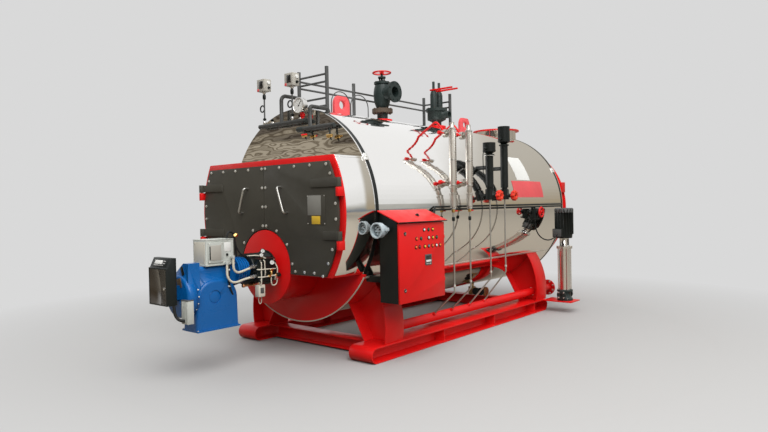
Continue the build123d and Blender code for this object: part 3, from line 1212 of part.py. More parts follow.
def pump_body():
    """An upright in-line pump: cast foot with two ports, sleeve, stay bolts and lantern."""
    head_top = PUMP_LANTERN_Z + PUMP_HEAD
    outline = [
        (0, RAIL_HEIGHT), (PUMP_FOOT_R, RAIL_HEIGHT), (PUMP_FOOT_R, RAIL_HEIGHT + PUMP_FOOT),
        (PUMP_BODY_R, RAIL_HEIGHT + 2 * PUMP_FOOT), (PUMP_BODY_R, PUMP_SLEEVE_Z - PUMP_FOOT),
        (PUMP_FOOT_R, PUMP_SLEEVE_Z - PUMP_FOOT), (PUMP_FOOT_R, PUMP_SLEEVE_Z),
        (PUMP_SLEEVE_R, PUMP_SLEEVE_Z),
        (PUMP_SLEEVE_R, PUMP_LANTERN_Z), (PUMP_FOOT_R, PUMP_LANTERN_Z), (PUMP_FOOT_R, head_top),
        (PUMP_LANTERN_R, head_top), (PUMP_LANTERN_R, PUMP_MOTOR_Z), (0, PUMP_MOTOR_Z),
    ]
    body = turned(outline, (PUMP_X, PUMP_Y, 0), (0, 0, 1))
    window = block((-2 * PUMP_LANTERN_R, 2 * PUMP_LANTERN_R), (-PUMP_WINDOW / 2, PUMP_WINDOW / 2),
                   (head_top + PUMP_LANTERN_WALL, PUMP_MOTOR_Z - PUMP_LANTERN_WALL))
    body -= Pos(PUMP_X, PUMP_Y, 0) * window
    body += rod((PUMP_X, PUMP_Y, head_top), (PUMP_X, PUMP_Y, PUMP_MOTOR_Z), PUMP_LANTERN_WALL)
    stay_circle = (PUMP_SLEEVE_R + PUMP_FOOT_R) / 2
    for i in range(PUMP_STAY_COUNT):
        angle = 2 * math.pi * (i + 0.5) / PUMP_STAY_COUNT
        x = PUMP_X + stay_circle * math.cos(angle)
        y = PUMP_Y + stay_circle * math.sin(angle)
        body += rod((x, y, PUMP_SLEEVE_Z), (x, y, head_top), PUMP_STAY_R)
    for side in (-1, 1):
        face_y = PUMP_Y + side * PUMP_PORT_REACH
        root_y = face_y - side * PUMP_PORT_FLANGE
        body += rod((PUMP_X, PUMP_Y, PUMP_PORT_Z), (PUMP_X, root_y, PUMP_PORT_Z), PUMP_PORT_R)
        body += rod((PUMP_X, root_y, PUMP_PORT_Z), (PUMP_X, face_y, PUMP_PORT_Z), PUMP_PORT_FLANGE_R)
        body -= rod((PUMP_X, root_y, PUMP_PORT_Z), (PUMP_X, face_y, PUMP_PORT_Z), PUMP_PORT_R / 2)
    return body


def pump_motor():
    """A finned motor with a fan cover on top and a terminal box towards the boiler's front."""
    core_r = PUMP_MOTOR_R - PUMP_FIN
    fin_zs = (PUMP_MOTOR_Z + PUMP_END_SHIELD, PUMP_TOP_Z - PUMP_FAN_COVER)
    outline = [
        (0, PUMP_MOTOR_Z), (PUMP_FOOT_R, PUMP_MOTOR_Z), (core_r, fin_zs[0]), (core_r, fin_zs[1]),
        (PUMP_MOTOR_R, fin_zs[1]), (PUMP_MOTOR_R, PUMP_TOP_Z - PUMP_FIN), (core_r, PUMP_TOP_Z),
        (0, PUMP_TOP_Z),
    ]
    motor = turned(outline, (0, 0, 0), (0, 0, 1))
    for i in range(PUMP_FIN_COUNT):
        fin = block((0, PUMP_MOTOR_R), (-PUMP_FIN_WIDTH / 2, PUMP_FIN_WIDTH / 2), fin_zs)
        motor += Rot(0, 0, 360 * i / PUMP_FIN_COUNT) * fin
    motor = Pos(PUMP_X, PUMP_Y, 0) * motor
    cable_x, cable_y, cable_z = PUMP_CABLE_ROUTE[-1]
    box_xs = (cable_x - PUMP_BOX[0] / 2, cable_x + PUMP_BOX[0] / 2)
    box_low = cable_z - PUMP_BOX_GLAND
    return motor + block(box_xs, (cable_y, PUMP_Y), (box_low, box_low + PUMP_BOX[1]))


def feed_pump():
    plate_ys = (PUMP_Y - PUMP_PLATE_LENGTH / 2, PUMP_Y + PUMP_PLATE_LENGTH / 2)
    plate_xs = (RAIL_OUTER_X, PUMP_X + PUMP_PLATE_REACH)
    plate = block(plate_xs, plate_ys, (RAIL_HEIGHT - PUMP_PLATE, RAIL_HEIGHT))
    return {"pump_plate": plate, "pump_body": pump_body(), "pump_motor": pump_motor()}


# Burner

def fan_housing():
    """A cast box with an arched top and round covers let into its sides, on a foot flange."""
    corners = [
        (0, FAN_FRONT_Y - FAN_DRAFT, FAN_BASE_Z), (0, FAN_REAR_Y + FAN_DRAFT, FAN_BASE_Z),
        (0, FAN_REAR_Y, FAN_TOP_Z), (0, FAN_FRONT_Y, FAN_TOP_Z),
    ]
    outline = make_face(Polyline(*corners, close=True))
    outline = fillet(outline.vertices().sort_by(Axis.Z)[-2:], FAN_ARCH_R)
    body = extrude(outline, FAN_X, dir=(1, 0, 0), both=True)
    sides = body.faces().filter_by(Axis.X)
    rims = [edge for face in sides for edge in face.edges() if edge.center().Z > FAN_BASE_Z + 1]
    body = fillet(rims, FAN_CORNER_R)
    for side in SIDES.values():
        face = (side * FAN_X, FAN_COVER_Y, FAN_COVER_Z)
        floor = (side * (FAN_X - FAN_COVER_DEPTH), FAN_COVER_Y, FAN_COVER_Z)
        body -= rod(face, floor, FAN_COVER_R)
        body += rod(floor, (0, FAN_COVER_Y, FAN_COVER_Z), FAN_COVER_R / 2)
    lip = FAN_FLANGE_LIP
    foot_zs = (FAN_BASE_Z - FAN_FLANGE, FAN_BASE_Z)
    return body + block((-FAN_X - lip, FAN_X + lip), (FAN_FRONT_Y - lip, FAN_REAR_Y + lip), foot_zs)


def fan_scroll():
    """The fan's snail shell: a rounded, stepped drum with a throat that leads up to the duct."""
    depth = FAN_FRONT_Y - SCROLL_FRONT_Y
    inner = SCROLL_R - SCROLL_STEP
    corners = [
        (SCROLL_R, SCROLL_ROUND), (SCROLL_R, depth - 2 * SCROLL_STEP), (inner, depth - SCROLL_STEP),
        (inner, depth), (0, depth), (0, 0), (SCROLL_R - SCROLL_ROUND, 0),
    ]
    line = Polyline(*[(r, 0, h) for r, h in corners])
    diagonal = SCROLL_ROUND * (1 - math.sqrt(0.5))
    edge = ThreePointArc(line @ 1, (SCROLL_R - diagonal, 0, diagonal), line @ 0)
    drum = revolve(make_face([line, edge]), Axis.Z)
    scroll = Plane(origin=(0, SCROLL_FRONT_Y, SCROLL_Z), z_dir=(0, 1, 0)) * drum
    reach = SCROLL_R * math.sqrt(0.5)
    throat = [
        (-reach, SCROLL_Z + reach), (THROAT_LEFT_X, THROAT_TOP_Z), (THROAT_RIGHT_X, THROAT_TOP_Z),
        (THROAT_RIGHT_X, SCROLL_Z), (0, SCROLL_Z),
    ]
    return scroll + extruded(throat, (SCROLL_FRONT_Y + THROAT_INSET, FAN_FRONT_Y))


def air_duct():
    """The duct over the fan, rounded above, and the ribbed cone from it to the head."""
    ys = (FAN_FRONT_Y, FAN_REAR_Y)
    duct = block((-DUCT_HALF_X, DUCT_HALF_X), ys, (DUCT_LOW_Z, DUCT_TOP_Z))
    duct = fillet(duct.edges().filter_by(Axis.Y).group_by(Axis.Z)[-1], DUCT_CORNER_R)
    pitch = (HEAD_FRONT_Y - FAN_REAR_Y) / CONE_RIB_COUNT
    outline = [(0, 0)]
    for i in range(CONE_RIB_COUNT):
        radius = CONE_START_R + (CONE_END_R - CONE_START_R) * i / (CONE_RIB_COUNT - 1)
        start, middle, end = i * pitch, (i + 0.5) * pitch, (i + 1) * pitch
        groove = radius - CONE_RIB_DEPTH
        outline += [(radius, start), (radius, middle), (groove, middle), (groove, end)]
    outline.append((0, CONE_RIB_COUNT * pitch))
    return duct + turned(outline, (0, FAN_REAR_Y, FURNACE_Z), (0, 1, 0))


def burner_head():
    """The black head on the burner plate, with the block that carries the fuel fittings."""
    plate_y = FRONT_Y - BURNER_PLATE
    head = disc(HEAD_R, (HEAD_FRONT_Y, plate_y), z=FURNACE_Z)
    head += disc(HEAD_FLANGE_R, (plate_y - HEAD_FLANGE, plate_y), z=FURNACE_Z)
    head += block((0, FITTINGS_X), FITTINGS_Y, FITTINGS_Z)
    for route in OIL_HOSE_ROUTES:
        x, y, z = route[-1]
        head += rod((x, y, z), (x, FITTINGS_Y[0], z), OIL_HOSE_R + HOSE_FITTING_WALL)
    return head


def control_boxes():
    """The control box on the duct, with its lip, cover and hose elbows, and the junction box."""
    fitting_r = OIL_HOSE_R + HOSE_FITTING_WALL
    box = block(CONTROL_BOX_X, CONTROL_BOX_Y, CONTROL_BOX_Z)
    lip = CONTROL_BOX_LIP
    lip_limits = [(low - lip, high + lip) for low, high in (CONTROL_BOX_X, CONTROL_BOX_Y)]
    box += block(*lip_limits, (CONTROL_BOX_Z[0], CONTROL_BOX_Z[0] + CONTROL_BOX_LIP_HEIGHT))
    cover_zs = (CONTROL_BOX_Z[0] + CONTROL_COVER_INSET, CONTROL_BOX_Z[1] - CONTROL_COVER_INSET)
    box += block((CONTROL_BOX_X[1], CONTROL_BOX_X[1] + CONTROL_COVER), CONTROL_COVER_Y, cover_zs)
    for route in OIL_HOSE_ROUTES:
        x, y, z = route[0]
        box += rod((CONTROL_BOX_X[1], y, z + fitting_r), (x, y, z + fitting_r), fitting_r)
        box += rod((x, y, z), (x, y, z + 2 * fitting_r), fitting_r)
    hose_x, hose_y, hose_z = PANEL_HOSE_ROUTE[-1]
    junction_xs = (hose_x - JUNCTION_SIDE, hose_x - JUNCTION_SIDE + JUNCTION_SIZE[0])
    junction_zs = (hose_z - JUNCTION_DROP, hose_z - JUNCTION_DROP + JUNCTION_SIZE[1])
    return [box, block(junction_xs, (hose_y, SCROLL_FRONT_Y + SCROLL_ROUND), junction_zs)]


def burner_panel():
    """The operator's panel: an upright case whose top slopes back to carry the display."""
    front, rear = PANEL_Y
    outline = [
        (front, PANEL_Z[0]), (front, PANEL_SHOULDER_Z), (front + PANEL_LEDGE, PANEL_SHOULDER_Z),
        (front + PANEL_SLOPE, PANEL_Z[1]), (rear, PANEL_Z[1]), (rear, PANEL_Z[0]),
    ]
    face = make_face(Polyline(*[(PANEL_X[0], y, z) for y, z in outline], close=True))
    return extrude(face, PANEL_X[1] - PANEL_X[0], dir=(1, 0, 0))


def burner():
    arm = block((-PANEL_ARM_X, PANEL_ARM_X), (PANEL_Y[1], SCROLL_FRONT_Y), PANEL_ARM_Z)
    boxes = control_boxes()
    housing = fan_housing() + air_duct() + fan_scroll() + arm
    return {
        "burner_head": burner_head(),
        "burner_housing": housing - boxes[1],
        "burner_control_box": boxes,
        "burner_panel": burner_panel(),
    }


# Cords

def cord(name, route, radius):
    """A tube of straight runs joined by the largest tangent arcs that fit."""
    points = [Vector(*p) for p in route]
    runs = [b - a for a, b in zip(points, points[1:])]
    bends = []
    for a, b in zip(runs, runs[1:]):
        half_turn = math.radians(a.get_angle(b)) / 2
        bends.append(0.45 * min(a.length, b.length) / math.tan(half_turn))
    path = FilletPolyline(*route, radius=bends)
    section = Plane(origin=path @ 0, z_dir=path % 0) * Circle(radius)
    tube = sweep(section, path=path)
    print(name, "length", round(path.length), "bends", [round(bend) for bend in bends])
    print(name, "volume over section times length", tube.volume / (math.pi * radius**2 * path.length))
    return tube


def cords():
    nodes = {
        "pump_cable": cord("pump_cable", PUMP_CABLE_ROUTE, PUMP_CABLE_R),
        "panel_hose": cord("panel_hose", PANEL_HOSE_ROUTE, PANEL_HOSE_R),
    }
    for i, route in enumerate(OIL_HOSE_ROUTES, 1):
        nodes[f"oil_hose_{i}"] = cord(f"oil_hose_{i}", route, OIL_HOSE_R)
    return nodes


GROUPS = (
    cladding, ends, smokebox, door_frame, furnace_mouth, doors, rear_end, flue_outlet,
    skid, steam_valve, lifting_lugs, safety_valve, guard_rail, instruments, level_gauges, level_probes,
    feed_valve, blowdown_valve, drains, cabinet, conduits, feed_pump, burner, cords,
)
CORD_NODES = ("pump_cable", "panel_hose", "oil_hose_1", "oil_hose_2")


def build():
    nodes = {}
    for group in GROUPS:
        nodes.update(group())
    solids = {}
    for name, piece in nodes.items():
        pieces = piece if isinstance(piece, list) else [piece]
        solids[name] = [solid for item in pieces for solid in item.solids()]
    return solids


def origin_of(solids):
    """The point on the floor under the middle of the whole object."""
    fixed = [pieces for name, pieces in solids.items() if name not in CORD_NODES]
    boxes = [solid.bounding_box() for pieces in fixed for solid in pieces]
    low_x, high_x = min(b.min.X for b in boxes), max(b.max.X for b in boxes)
    low_y, high_y = min(b.min.Y for b in boxes), max(b.max.Y for b in boxes)
    return Vector((low_x + high_x) / 2, (low_y + high_y) / 2, min(b.min.Z for b in boxes))


SOLIDS = build()
ORIGIN = origin_of(SOLIDS)

os.makedirs("parts", exist_ok=True)
for node, pieces in SOLIDS.items():
    moved = [Pos(*(-ORIGIN)) * solid for solid in pieces]
    export_step(moved[0] if len(moved) == 1 else Compound(moved), f"parts/{node}.step")
print("origin", ORIGIN, "nodes", len(SOLIDS))
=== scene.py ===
# %% [markdown]
# # A fire-tube steam boiler, dressed in Blender
# The boiler's pieces, sizes and joints come packed from CAD as a fixed frame. This lesson gives
# them their finishes and adds what a maker fits last: bolts, seams, lamps, dials and hoses.
# Nothing from the frame is moved, so every piece here is placed from the frame's own boxes.

# %% Load the frame
import bmesh
import bpy
import json
import math
from mathutils import Matrix, Vector

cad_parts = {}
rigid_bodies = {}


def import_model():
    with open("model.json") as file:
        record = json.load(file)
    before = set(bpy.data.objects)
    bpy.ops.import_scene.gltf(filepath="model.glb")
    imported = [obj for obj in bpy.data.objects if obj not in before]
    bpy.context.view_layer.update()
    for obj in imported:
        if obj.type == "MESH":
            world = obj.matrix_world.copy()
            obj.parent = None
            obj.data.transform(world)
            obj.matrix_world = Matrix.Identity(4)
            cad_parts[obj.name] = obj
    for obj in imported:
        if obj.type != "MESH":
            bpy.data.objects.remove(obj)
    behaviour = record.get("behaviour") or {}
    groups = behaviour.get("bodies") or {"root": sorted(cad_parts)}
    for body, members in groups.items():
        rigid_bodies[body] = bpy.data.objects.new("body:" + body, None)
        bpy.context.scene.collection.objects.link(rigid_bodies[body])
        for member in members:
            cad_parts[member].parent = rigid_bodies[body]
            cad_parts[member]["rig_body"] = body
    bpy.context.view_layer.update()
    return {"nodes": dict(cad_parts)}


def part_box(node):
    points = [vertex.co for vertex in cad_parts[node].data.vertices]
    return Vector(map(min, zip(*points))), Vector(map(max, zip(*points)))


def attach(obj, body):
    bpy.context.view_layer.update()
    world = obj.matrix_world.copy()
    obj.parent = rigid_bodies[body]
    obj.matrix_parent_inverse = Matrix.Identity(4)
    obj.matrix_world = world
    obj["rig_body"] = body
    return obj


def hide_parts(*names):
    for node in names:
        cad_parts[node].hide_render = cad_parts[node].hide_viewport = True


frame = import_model()

# %% [markdown]
# Every place below is measured as a boilermaker would: to the right of the drum's axis, back from
# the drum's front edge and up from the floor. The drum's own box gives that starting point, so the
# pieces follow if the frame's origin moves.

# %% The drum gives the places
drum_low, drum_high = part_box("cladding_upper")
DRUM_R = (drum_high.x - drum_low.x) / 2
DRUM_X = (drum_high.x + drum_low.x) / 2
DRUM_Z = drum_high.z - DRUM_R
DRUM_FRONT = drum_low.y
DRUM_LENGTH = drum_high.y - drum_low.y


def spot(right, back, up):
    """A point measured from under the drum's front edge."""
    return Vector((DRUM_X + right, DRUM_FRONT + back, up))


print("drum radius", round(DRUM_R, 3), "length", round(DRUM_LENGTH, 3), "axis height", round(DRUM_Z, 3))

# %% [markdown]
# The camera stands where the photo was taken, at eye height off the right front corner. The lens
# is given by its focal length in pixels of a 768 pixel wide frame, which is what a fit to the photo
# yields, and turned into millimetres for a 36 mm sensor.

# %% Camera
CAMERA_SPOT = (4.780, -4.250, 1.498)
CAMERA_YAW = math.radians(40.24)
CAMERA_PITCH = math.radians(-1.02)
CAMERA_ROLL = math.radians(-1.06)
FOCAL_PIXELS = 609.3
FRAME_PIXELS = 768
SENSOR = 36.0

camera = bpy.data.objects.new("camera", bpy.data.cameras.new("camera"))
bpy.context.scene.collection.objects.link(camera)
camera.data.sensor_width = SENSOR
camera.data.lens = SENSOR * FOCAL_PIXELS / FRAME_PIXELS
turn = Matrix.Rotation(CAMERA_YAW, 4, "Z") @ Matrix.Rotation(math.pi / 2 + CAMERA_PITCH, 4, "X")
camera.matrix_world = Matrix.Translation(spot(*CAMERA_SPOT)) @ turn @ Matrix.Rotation(CAMERA_ROLL, 4, "Z")
bpy.context.scene.camera = camera
print("lens", round(camera.data.lens, 2), "mm")

# %% [markdown]
# Materials come next. Each one is a Principled shader with its plain numbers on the shader's own
# sockets, and one or two noise patterns on Object coordinates for what a brush, a roller or the
# weather leaves behind. A few small helpers keep that short.

# %% Helpers for finishes
SHADER = "Principled BSDF"
PAINT_SPECULAR = 0.25


def surface(name, colour, roughness, metallic=0.0, coat=0.0):
    """A Principled material with one colour, ready for detail."""
    made = bpy.data.materials.new(name)
    made.use_nodes = True
    shader = made.node_tree.nodes[SHADER]
    shader.inputs["Base Color"].default_value = (*colour, 1)
    shader.inputs["Roughness"].default_value = roughness
    shader.inputs["Metallic"].default_value = metallic
    shader.inputs["Coat Weight"].default_value = coat
    made.diffuse_color = (*colour, 1)
    return made


def noise(made, scale, detail, stretch=(1, 1, 1)):
    """A noise value between 0 and 1 on Object coordinates."""
    nodes, links = made.node_tree.nodes, made.node_tree.links
    place = nodes.new("ShaderNodeTexCoord")
    mapping = nodes.new("ShaderNodeMapping")
    mapping.inputs["Scale"].default_value = stretch
    pattern = nodes.new("ShaderNodeTexNoise")
    pattern.inputs["Scale"].default_value = scale
    pattern.inputs["Detail"].default_value = detail
    links.new(place.outputs["Object"], mapping.inputs["Vector"])
    links.new(mapping.outputs["Vector"], pattern.inputs["Vector"])
    return pattern.outputs["Fac"]


def ramp(tree, value, stops):
    """A colour ramp over a value, from (position, colour) stops."""
    made = tree.nodes.new("ShaderNodeValToRGB")
    elements = made.color_ramp.elements
    while len(elements) < len(stops):
        elements.new(0.5)
    for element, (position, colour) in zip(elements, stops):
        element.position = position
        element.color = (*colour, 1)
    tree.links.new(value, made.inputs["Fac"])
    return made.outputs["Color"]


def rescale(tree, value, start, end, low=0.0, high=1.0, smooth=False):
    """A value carried from one range to another and held at the ends."""
    made = tree.nodes.new("ShaderNodeMapRange")
    if smooth:
        made.interpolation_type = "SMOOTHSTEP"
    made.inputs["From Min"].default_value = start
    made.inputs["From Max"].default_value = end
    made.inputs["To Min"].default_value = low
    made.inputs["To Max"].default_value = high
    tree.links.new(value, made.inputs["Value"])
    return made.outputs["Result"]


def vary_colour(made, value, stops):
    tree = made.node_tree
    tree.links.new(ramp(tree, value, stops), tree.nodes[SHADER].inputs["Base Color"])


def vary_roughness(made, value, low, high):
    tree = made.node_tree
    tree.links.new(rescale(tree, value, 0.3, 0.7, low, high), tree.nodes[SHADER].inputs["Roughness"])


def bump(made, value, strength, distance):
    """Lays a bump over whatever bump the material already has."""
    nodes, links = made.node_tree.nodes, made.node_tree.links
    normal = nodes[SHADER].inputs["Normal"]
    relief = nodes.new("ShaderNodeBump")
    relief.inputs["Strength"].default_value = strength
    relief.inputs["Distance"].default_value = distance
    links.new(value, relief.inputs["Height"])
    if normal.is_linked:
        links.new(normal.links[0].from_socket, relief.inputs["Normal"])
    links.new(relief.outputs["Normal"], normal)


def shade(colour, share):
    return tuple(channel * share for channel in colour)


def paint(name, colour, roughness, peel=0.00012, spread=0.10, coat=0.05):
    """Sprayed paint: slow drifts of tone, a little orange peel and an uneven gloss."""
    made = surface(name, colour, roughness, coat=coat)
    made.node_tree.nodes[SHADER].inputs["Specular IOR Level"].default_value = PAINT_SPECULAR
    cloud = noise(made, 2.3, 4)
    vary_colour(made, cloud, [(0.3, shade(colour, 1 - spread)), (0.7, shade(colour, 1 + spread / 2))])
    vary_roughness(made, noise(made, 9.0, 5), roughness - 0.06, roughness + 0.10)
    bump(made, noise(made, 260.0, 1), 0.25, peel)
    return made


# %% [markdown]
# The drum's jacket is thin stainless sheet, polished to a mirror and slightly wavy, so straight
# things reflect as ripples. Two bump layers give that: long soft waves from rolling the sheet and
# shorter ones where the insulation presses from behind.

# %% Bare metals
def mirror_sheet():
    made = surface("mirror_sheet", (0.84, 0.83, 0.81), 0.05, metallic=1.0)
    bump(made, noise(made, 1.6, 1, (1, 0.45, 1)), 0.30, 0.030)
    bump(made, noise(made, 7.0, 2, (1, 0.4, 1)), 0.12, 0.006)
    vary_roughness(made, noise(made, 5.0, 4), 0.03, 0.08)
    return made


def rippled_sheet():
    made = surface("rippled_sheet", (0.80, 0.78, 0.74), 0.03, metallic=1.0)
    bump(made, noise(made, 2.4, 1, (0.5, 1, 1.6)), 0.60, 0.024)
    bump(made, noise(made, 7.0, 1, (0.45, 1, 1.3)), 0.40, 0.008)
    return made


def bare_steel(name, colour, roughness):
    made = surface(name, colour, roughness, metallic=1.0)
    vary_roughness(made, noise(made, 30.0, 4, (1, 1, 0.15)), roughness - 0.06, roughness + 0.08)
    vary_colour(made, noise(made, 6.0, 4), [(0.35, shade(colour, 0.86)), (0.7, colour)])
    bump(made, noise(made, 60.0, 2), 0.10, 0.0003)
    return made


# %% [markdown]
# One table holds every finish, so that a piece only has to name it. The paints differ in colour,
# gloss and drift of tone, and the bare metals in colour and roughness. The pump's sleeve alone is
# left plain, because a drawn tube mirrors its neighbours in clean upright streaks.

# %% All finishes
FINISH = {
    "mirror": mirror_sheet(),
    "ripple": rippled_sheet(),
    "red": paint("red_gloss", (0.74, 0.008, 0.008), 0.34),
    "orange_red": paint("red_plastic", (0.80, 0.05, 0.02), 0.38, coat=0.0),
    "pink_red": paint("red_faded", (0.80, 0.10, 0.11), 0.45),
    "rust": paint("rusty_steel", (0.10, 0.072, 0.052), 0.62, peel=0.0006, spread=0.45, coat=0.0),
    "door_grey": paint("door_grey", (0.062, 0.058, 0.046), 0.50, spread=0.16, coat=0.0),
    "plate_grey": paint("plate_grey", (0.24, 0.235, 0.21), 0.34, spread=0.30),
    "black": paint("black_satin", (0.008, 0.011, 0.010), 0.36, spread=0.2, coat=0.0),
    "pipe_grey": paint("pipe_grey", (0.090, 0.093, 0.092), 0.42, spread=0.15),
    "manifold_grey": paint("manifold_grey", (0.056, 0.057, 0.054), 0.45, spread=0.2),
    "pipe_dark": paint("pipe_dark", (0.035, 0.042, 0.040), 0.45, spread=0.2),
    "pipe_cream": paint("pipe_cream", (0.60, 0.56, 0.46), 0.42, spread=0.12),
    "valve_green": paint("valve_green", (0.022, 0.034, 0.032), 0.42, peel=0.0004, spread=0.2),
    "safety_green": paint("safety_green", (0.028, 0.040, 0.037), 0.42, peel=0.0004, spread=0.2),
    "blue": paint("blue_gloss", (0.003, 0.112, 0.37), 0.28, peel=0.0003, coat=0.25),
    "box_grey": paint("box_grey", (0.50, 0.52, 0.48), 0.48, spread=0.06, coat=0.0),
    "switch_grey": paint("switch_grey", (0.44, 0.42, 0.37), 0.48, spread=0.08, coat=0.0),
    "socket_grey": paint("socket_grey", (0.46, 0.53, 0.56), 0.44, spread=0.05, coat=0.0),
    "ochre": paint("ochre_plate", (0.72, 0.46, 0.04), 0.40, spread=0.08),
    "box_beige": paint("box_beige", (0.66, 0.62, 0.52), 0.50, spread=0.06, coat=0.0),
    "panel_brown": paint("panel_brown", (0.040, 0.030, 0.020), 0.22, coat=0.6),
    "tag_brown": paint("tag_brown", (0.17, 0.11, 0.055), 0.40, spread=0.2),
    "white": paint("white_enamel", (0.78, 0.78, 0.75), 0.35, spread=0.04),
    "dark_glass": paint("dark_glass", (0.012, 0.013, 0.013), 0.14, spread=0.3, coat=0.8),
    "lens_green": paint("lens_green", (0.010, 0.095, 0.045), 0.22, coat=0.5),
    "lens_yellow": paint("lens_yellow", (0.80, 0.52, 0.030), 0.24, coat=0.5),
    "lens_orange": paint("lens_orange", (0.85, 0.17, 0.015), 0.24, coat=0.5),
    "lens_red": paint("lens_red", (0.22, 0.008, 0.010), 0.24, coat=0.5),
    "lens_blue": paint("lens_blue", (0.13, 0.19, 0.26), 0.24, coat=0.5),
    "steel": bare_steel("drawn_steel", (0.50, 0.49, 0.46), 0.38),
    "bright": bare_steel("bright_steel", (0.72, 0.71, 0.69), 0.26),
    "satin": bare_steel("satin_steel", (0.60, 0.57, 0.52), 0.40),
    "sleeve": surface("sleeve_steel", (0.70, 0.68, 0.65), 0.22, metallic=1.0),
    "zinc": bare_steel("zinc_bolts", (0.90, 0.90, 0.87), 0.42),
    "brass": bare_steel("brass", (0.58, 0.36, 0.12), 0.30),
    "bronze": bare_steel("bronze", (0.34, 0.25, 0.13), 0.42),
    "copper": bare_steel("copper", (0.72, 0.32, 0.15), 0.28),
    # Soot black, also used as painted shade on the discs that close the tube bores.
    "soot_and_shade": paint("soot_and_shade", (0.010, 0.009, 0.008), 0.80, spread=0.4, coat=0.0),
    "rubber": paint("cable_rubber", (0.016, 0.017, 0.017), 0.55, coat=0.0),
    "braid": paint("hose_braid", (0.62, 0.57, 0.46), 0.60, coat=0.0),
}
print("finishes", len(FINISH))

# %% [markdown]
# A CAD solid arrives as loose triangles with razor edges. A real plate has edges that a grinder has
# eased and that catch the light, so each node gets a copy whose triangles are merged into flats,
# with a small bevel where faces meet. The copy then stands for the node.

# %% Copies of the solids with eased edges
SMOOTH_ANGLE = math.radians(32)
FLAT_ANGLE = math.radians(0.4)
EDGE_ANGLE = math.radians(40)
MERGE_DISTANCE = 0.00002
EASE = 0.0025


def finish_piece(bm, name, finishes, body):
    """Makes an object of a bmesh, shades it and lets it ride on a body."""
    mesh = bpy.data.meshes.new(name)
    bm.to_mesh(mesh)
    bm.free()
    for finish in finishes:
        mesh.materials.append(FINISH[finish])
    mesh.shade_smooth()
    mesh.set_sharp_from_angle(angle=SMOOTH_ANGLE)
    made = bpy.data.objects.new(name, mesh)
    bpy.context.scene.collection.objects.link(made)
    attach(made, body)
    return made


# Some nodes are painted in two colours. Faces between the two heights get the second finish.
FLUE_FLANGE_LOW = drum_high.z + 0.081
ZONES = {
    "flue_outlet": (0.0, FLUE_FLANGE_LOW, "mirror"),
    "steam_valve": (2.606, 2.664, "rust"),
    "pump_body": (0.0, 0.300, "valve_green"),
    "pump_motor": (1.352, 2.0, "pipe_grey"),
    "cabinet": (1.336, 2.0, "red"),
}
# Two flat faces have steps turned or pressed into them: the way they face, each step's width and rise,
# and the finish of the innermost field.
STEPS = {
    "burner_panel": ((0, -1, 0), [(0.009, 0), (0.0008, -0.003)], "panel_brown"),
    "rear_cover": ((0, 1, 0), [(0.013, 0), (0.0005, -0.013), (0.052, 0), (0.0005, 0.013)], "red"),
}


def press_steps(bm, facing, steps):
    """Presses steps into the largest flat that faces a way, and gives the field that is left."""
    flats = [face for face in bm.faces if face.normal.dot(Vector(facing)) > 0.999]
    field = max(flats, key=lambda face: face.calc_area())
    for width, rise in steps:
        bmesh.ops.inset_region(bm, faces=[field], thickness=width, depth=rise, use_even_offset=True)
    return field


def dress(node, finish, ease=0.0):
    """A copy of a CAD node with flats merged and edges eased, in its finish."""
    source = frame["nodes"][node]
    bm = bmesh.new()
    bm.from_mesh(source.data)
    bmesh.ops.remove_doubles(bm, verts=bm.verts, dist=MERGE_DISTANCE)
    bmesh.ops.dissolve_limit(bm, angle_limit=FLAT_ANGLE, verts=bm.verts, edges=bm.edges)
    if ease:
        sharp = [e for e in bm.edges if e.is_manifold and e.calc_face_angle(0) > EDGE_ANGLE]
        bmesh.ops.bevel(
            bm, geom=sharp, offset=ease, offset_type="OFFSET", segments=2, profile=0.5,
            affect="EDGES", clamp_overlap=True, material=-1,
        )
    finishes = [finish]
    if node in ZONES:
        low, high, second = ZONES[node]
        finishes.append(second)
        for face in bm.faces:
            face.material_index = int(low < face.calc_center_median().z < high)
    if node in STEPS:
        facing, steps, second = STEPS[node]
        finishes.append(second)
        press_steps(bm, facing, steps).material_index = 1
    made = finish_piece(bm, node + "_dressed", finishes, source["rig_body"])
    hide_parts(node)


PLAIN = {
    "mirror": ["cladding_upper", "cladding_lower"],
    "ripple": ["front_cap"],
    "steel": ["tube_plate", "rear_plate", "door_left_handle", "door_right_handle", "drain_pipes"],
    "bright": ["pressure_gauge"],
    "sleeve": ["pump_body"],
    "satin": ["level_gauges"],
    "bronze": ["blowdown_valve"],
    "black": ["feed_valve", "burner_head", "level_probes", "pump_motor", "conduits"],
    "safety_green": ["safety_valve"],
    "valve_green": ["steam_valve", "steam_outlet_flange"],
    "red": [
        "steam_handwheel", "probe_handwheel_1", "probe_handwheel_2", "feed_handwheel",
        "level_gauge_pipes",
    ],
    "pipe_grey": ["guard_rail"],
    "manifold_grey": ["pressure_manifolds"],
    "blue": ["burner_housing"],
    "socket_grey": ["cabinet_socket"],
}
EASED = {
    "red": [
        "door_frame", "smokebox_floor", "front_plate", "furnace_neck", "burner_plate",
        "rear_smokebox", "rear_cover", "flue_outlet", "skid_rail_left",
        "skid_rail_right", "cross_beams", "saddles_front", "saddles_rear", "valve_pads",
        "safety_levers", "drain_header", "cabinet_door", "pump_plate",
    ],
    "mirror": ["smokebox_walls", "smokebox_top"],
    "pink_red": ["lifting_lugs"],
    "door_grey": ["door_left", "door_right"],
    "black": ["cabinet", "burner_panel"],
    "box_grey": ["burner_control_box"],
    "switch_grey": ["pressure_switches"],
}
for finish, nodes in PLAIN.items():
    for node in nodes:
        dress(node, finish)
for finish, nodes in EASED.items():
    for node in nodes:
        dress(node, finish, ease=EASE)
print("dressed nodes", sum(map(len, PLAIN.values())) + sum(map(len, EASED.values())))

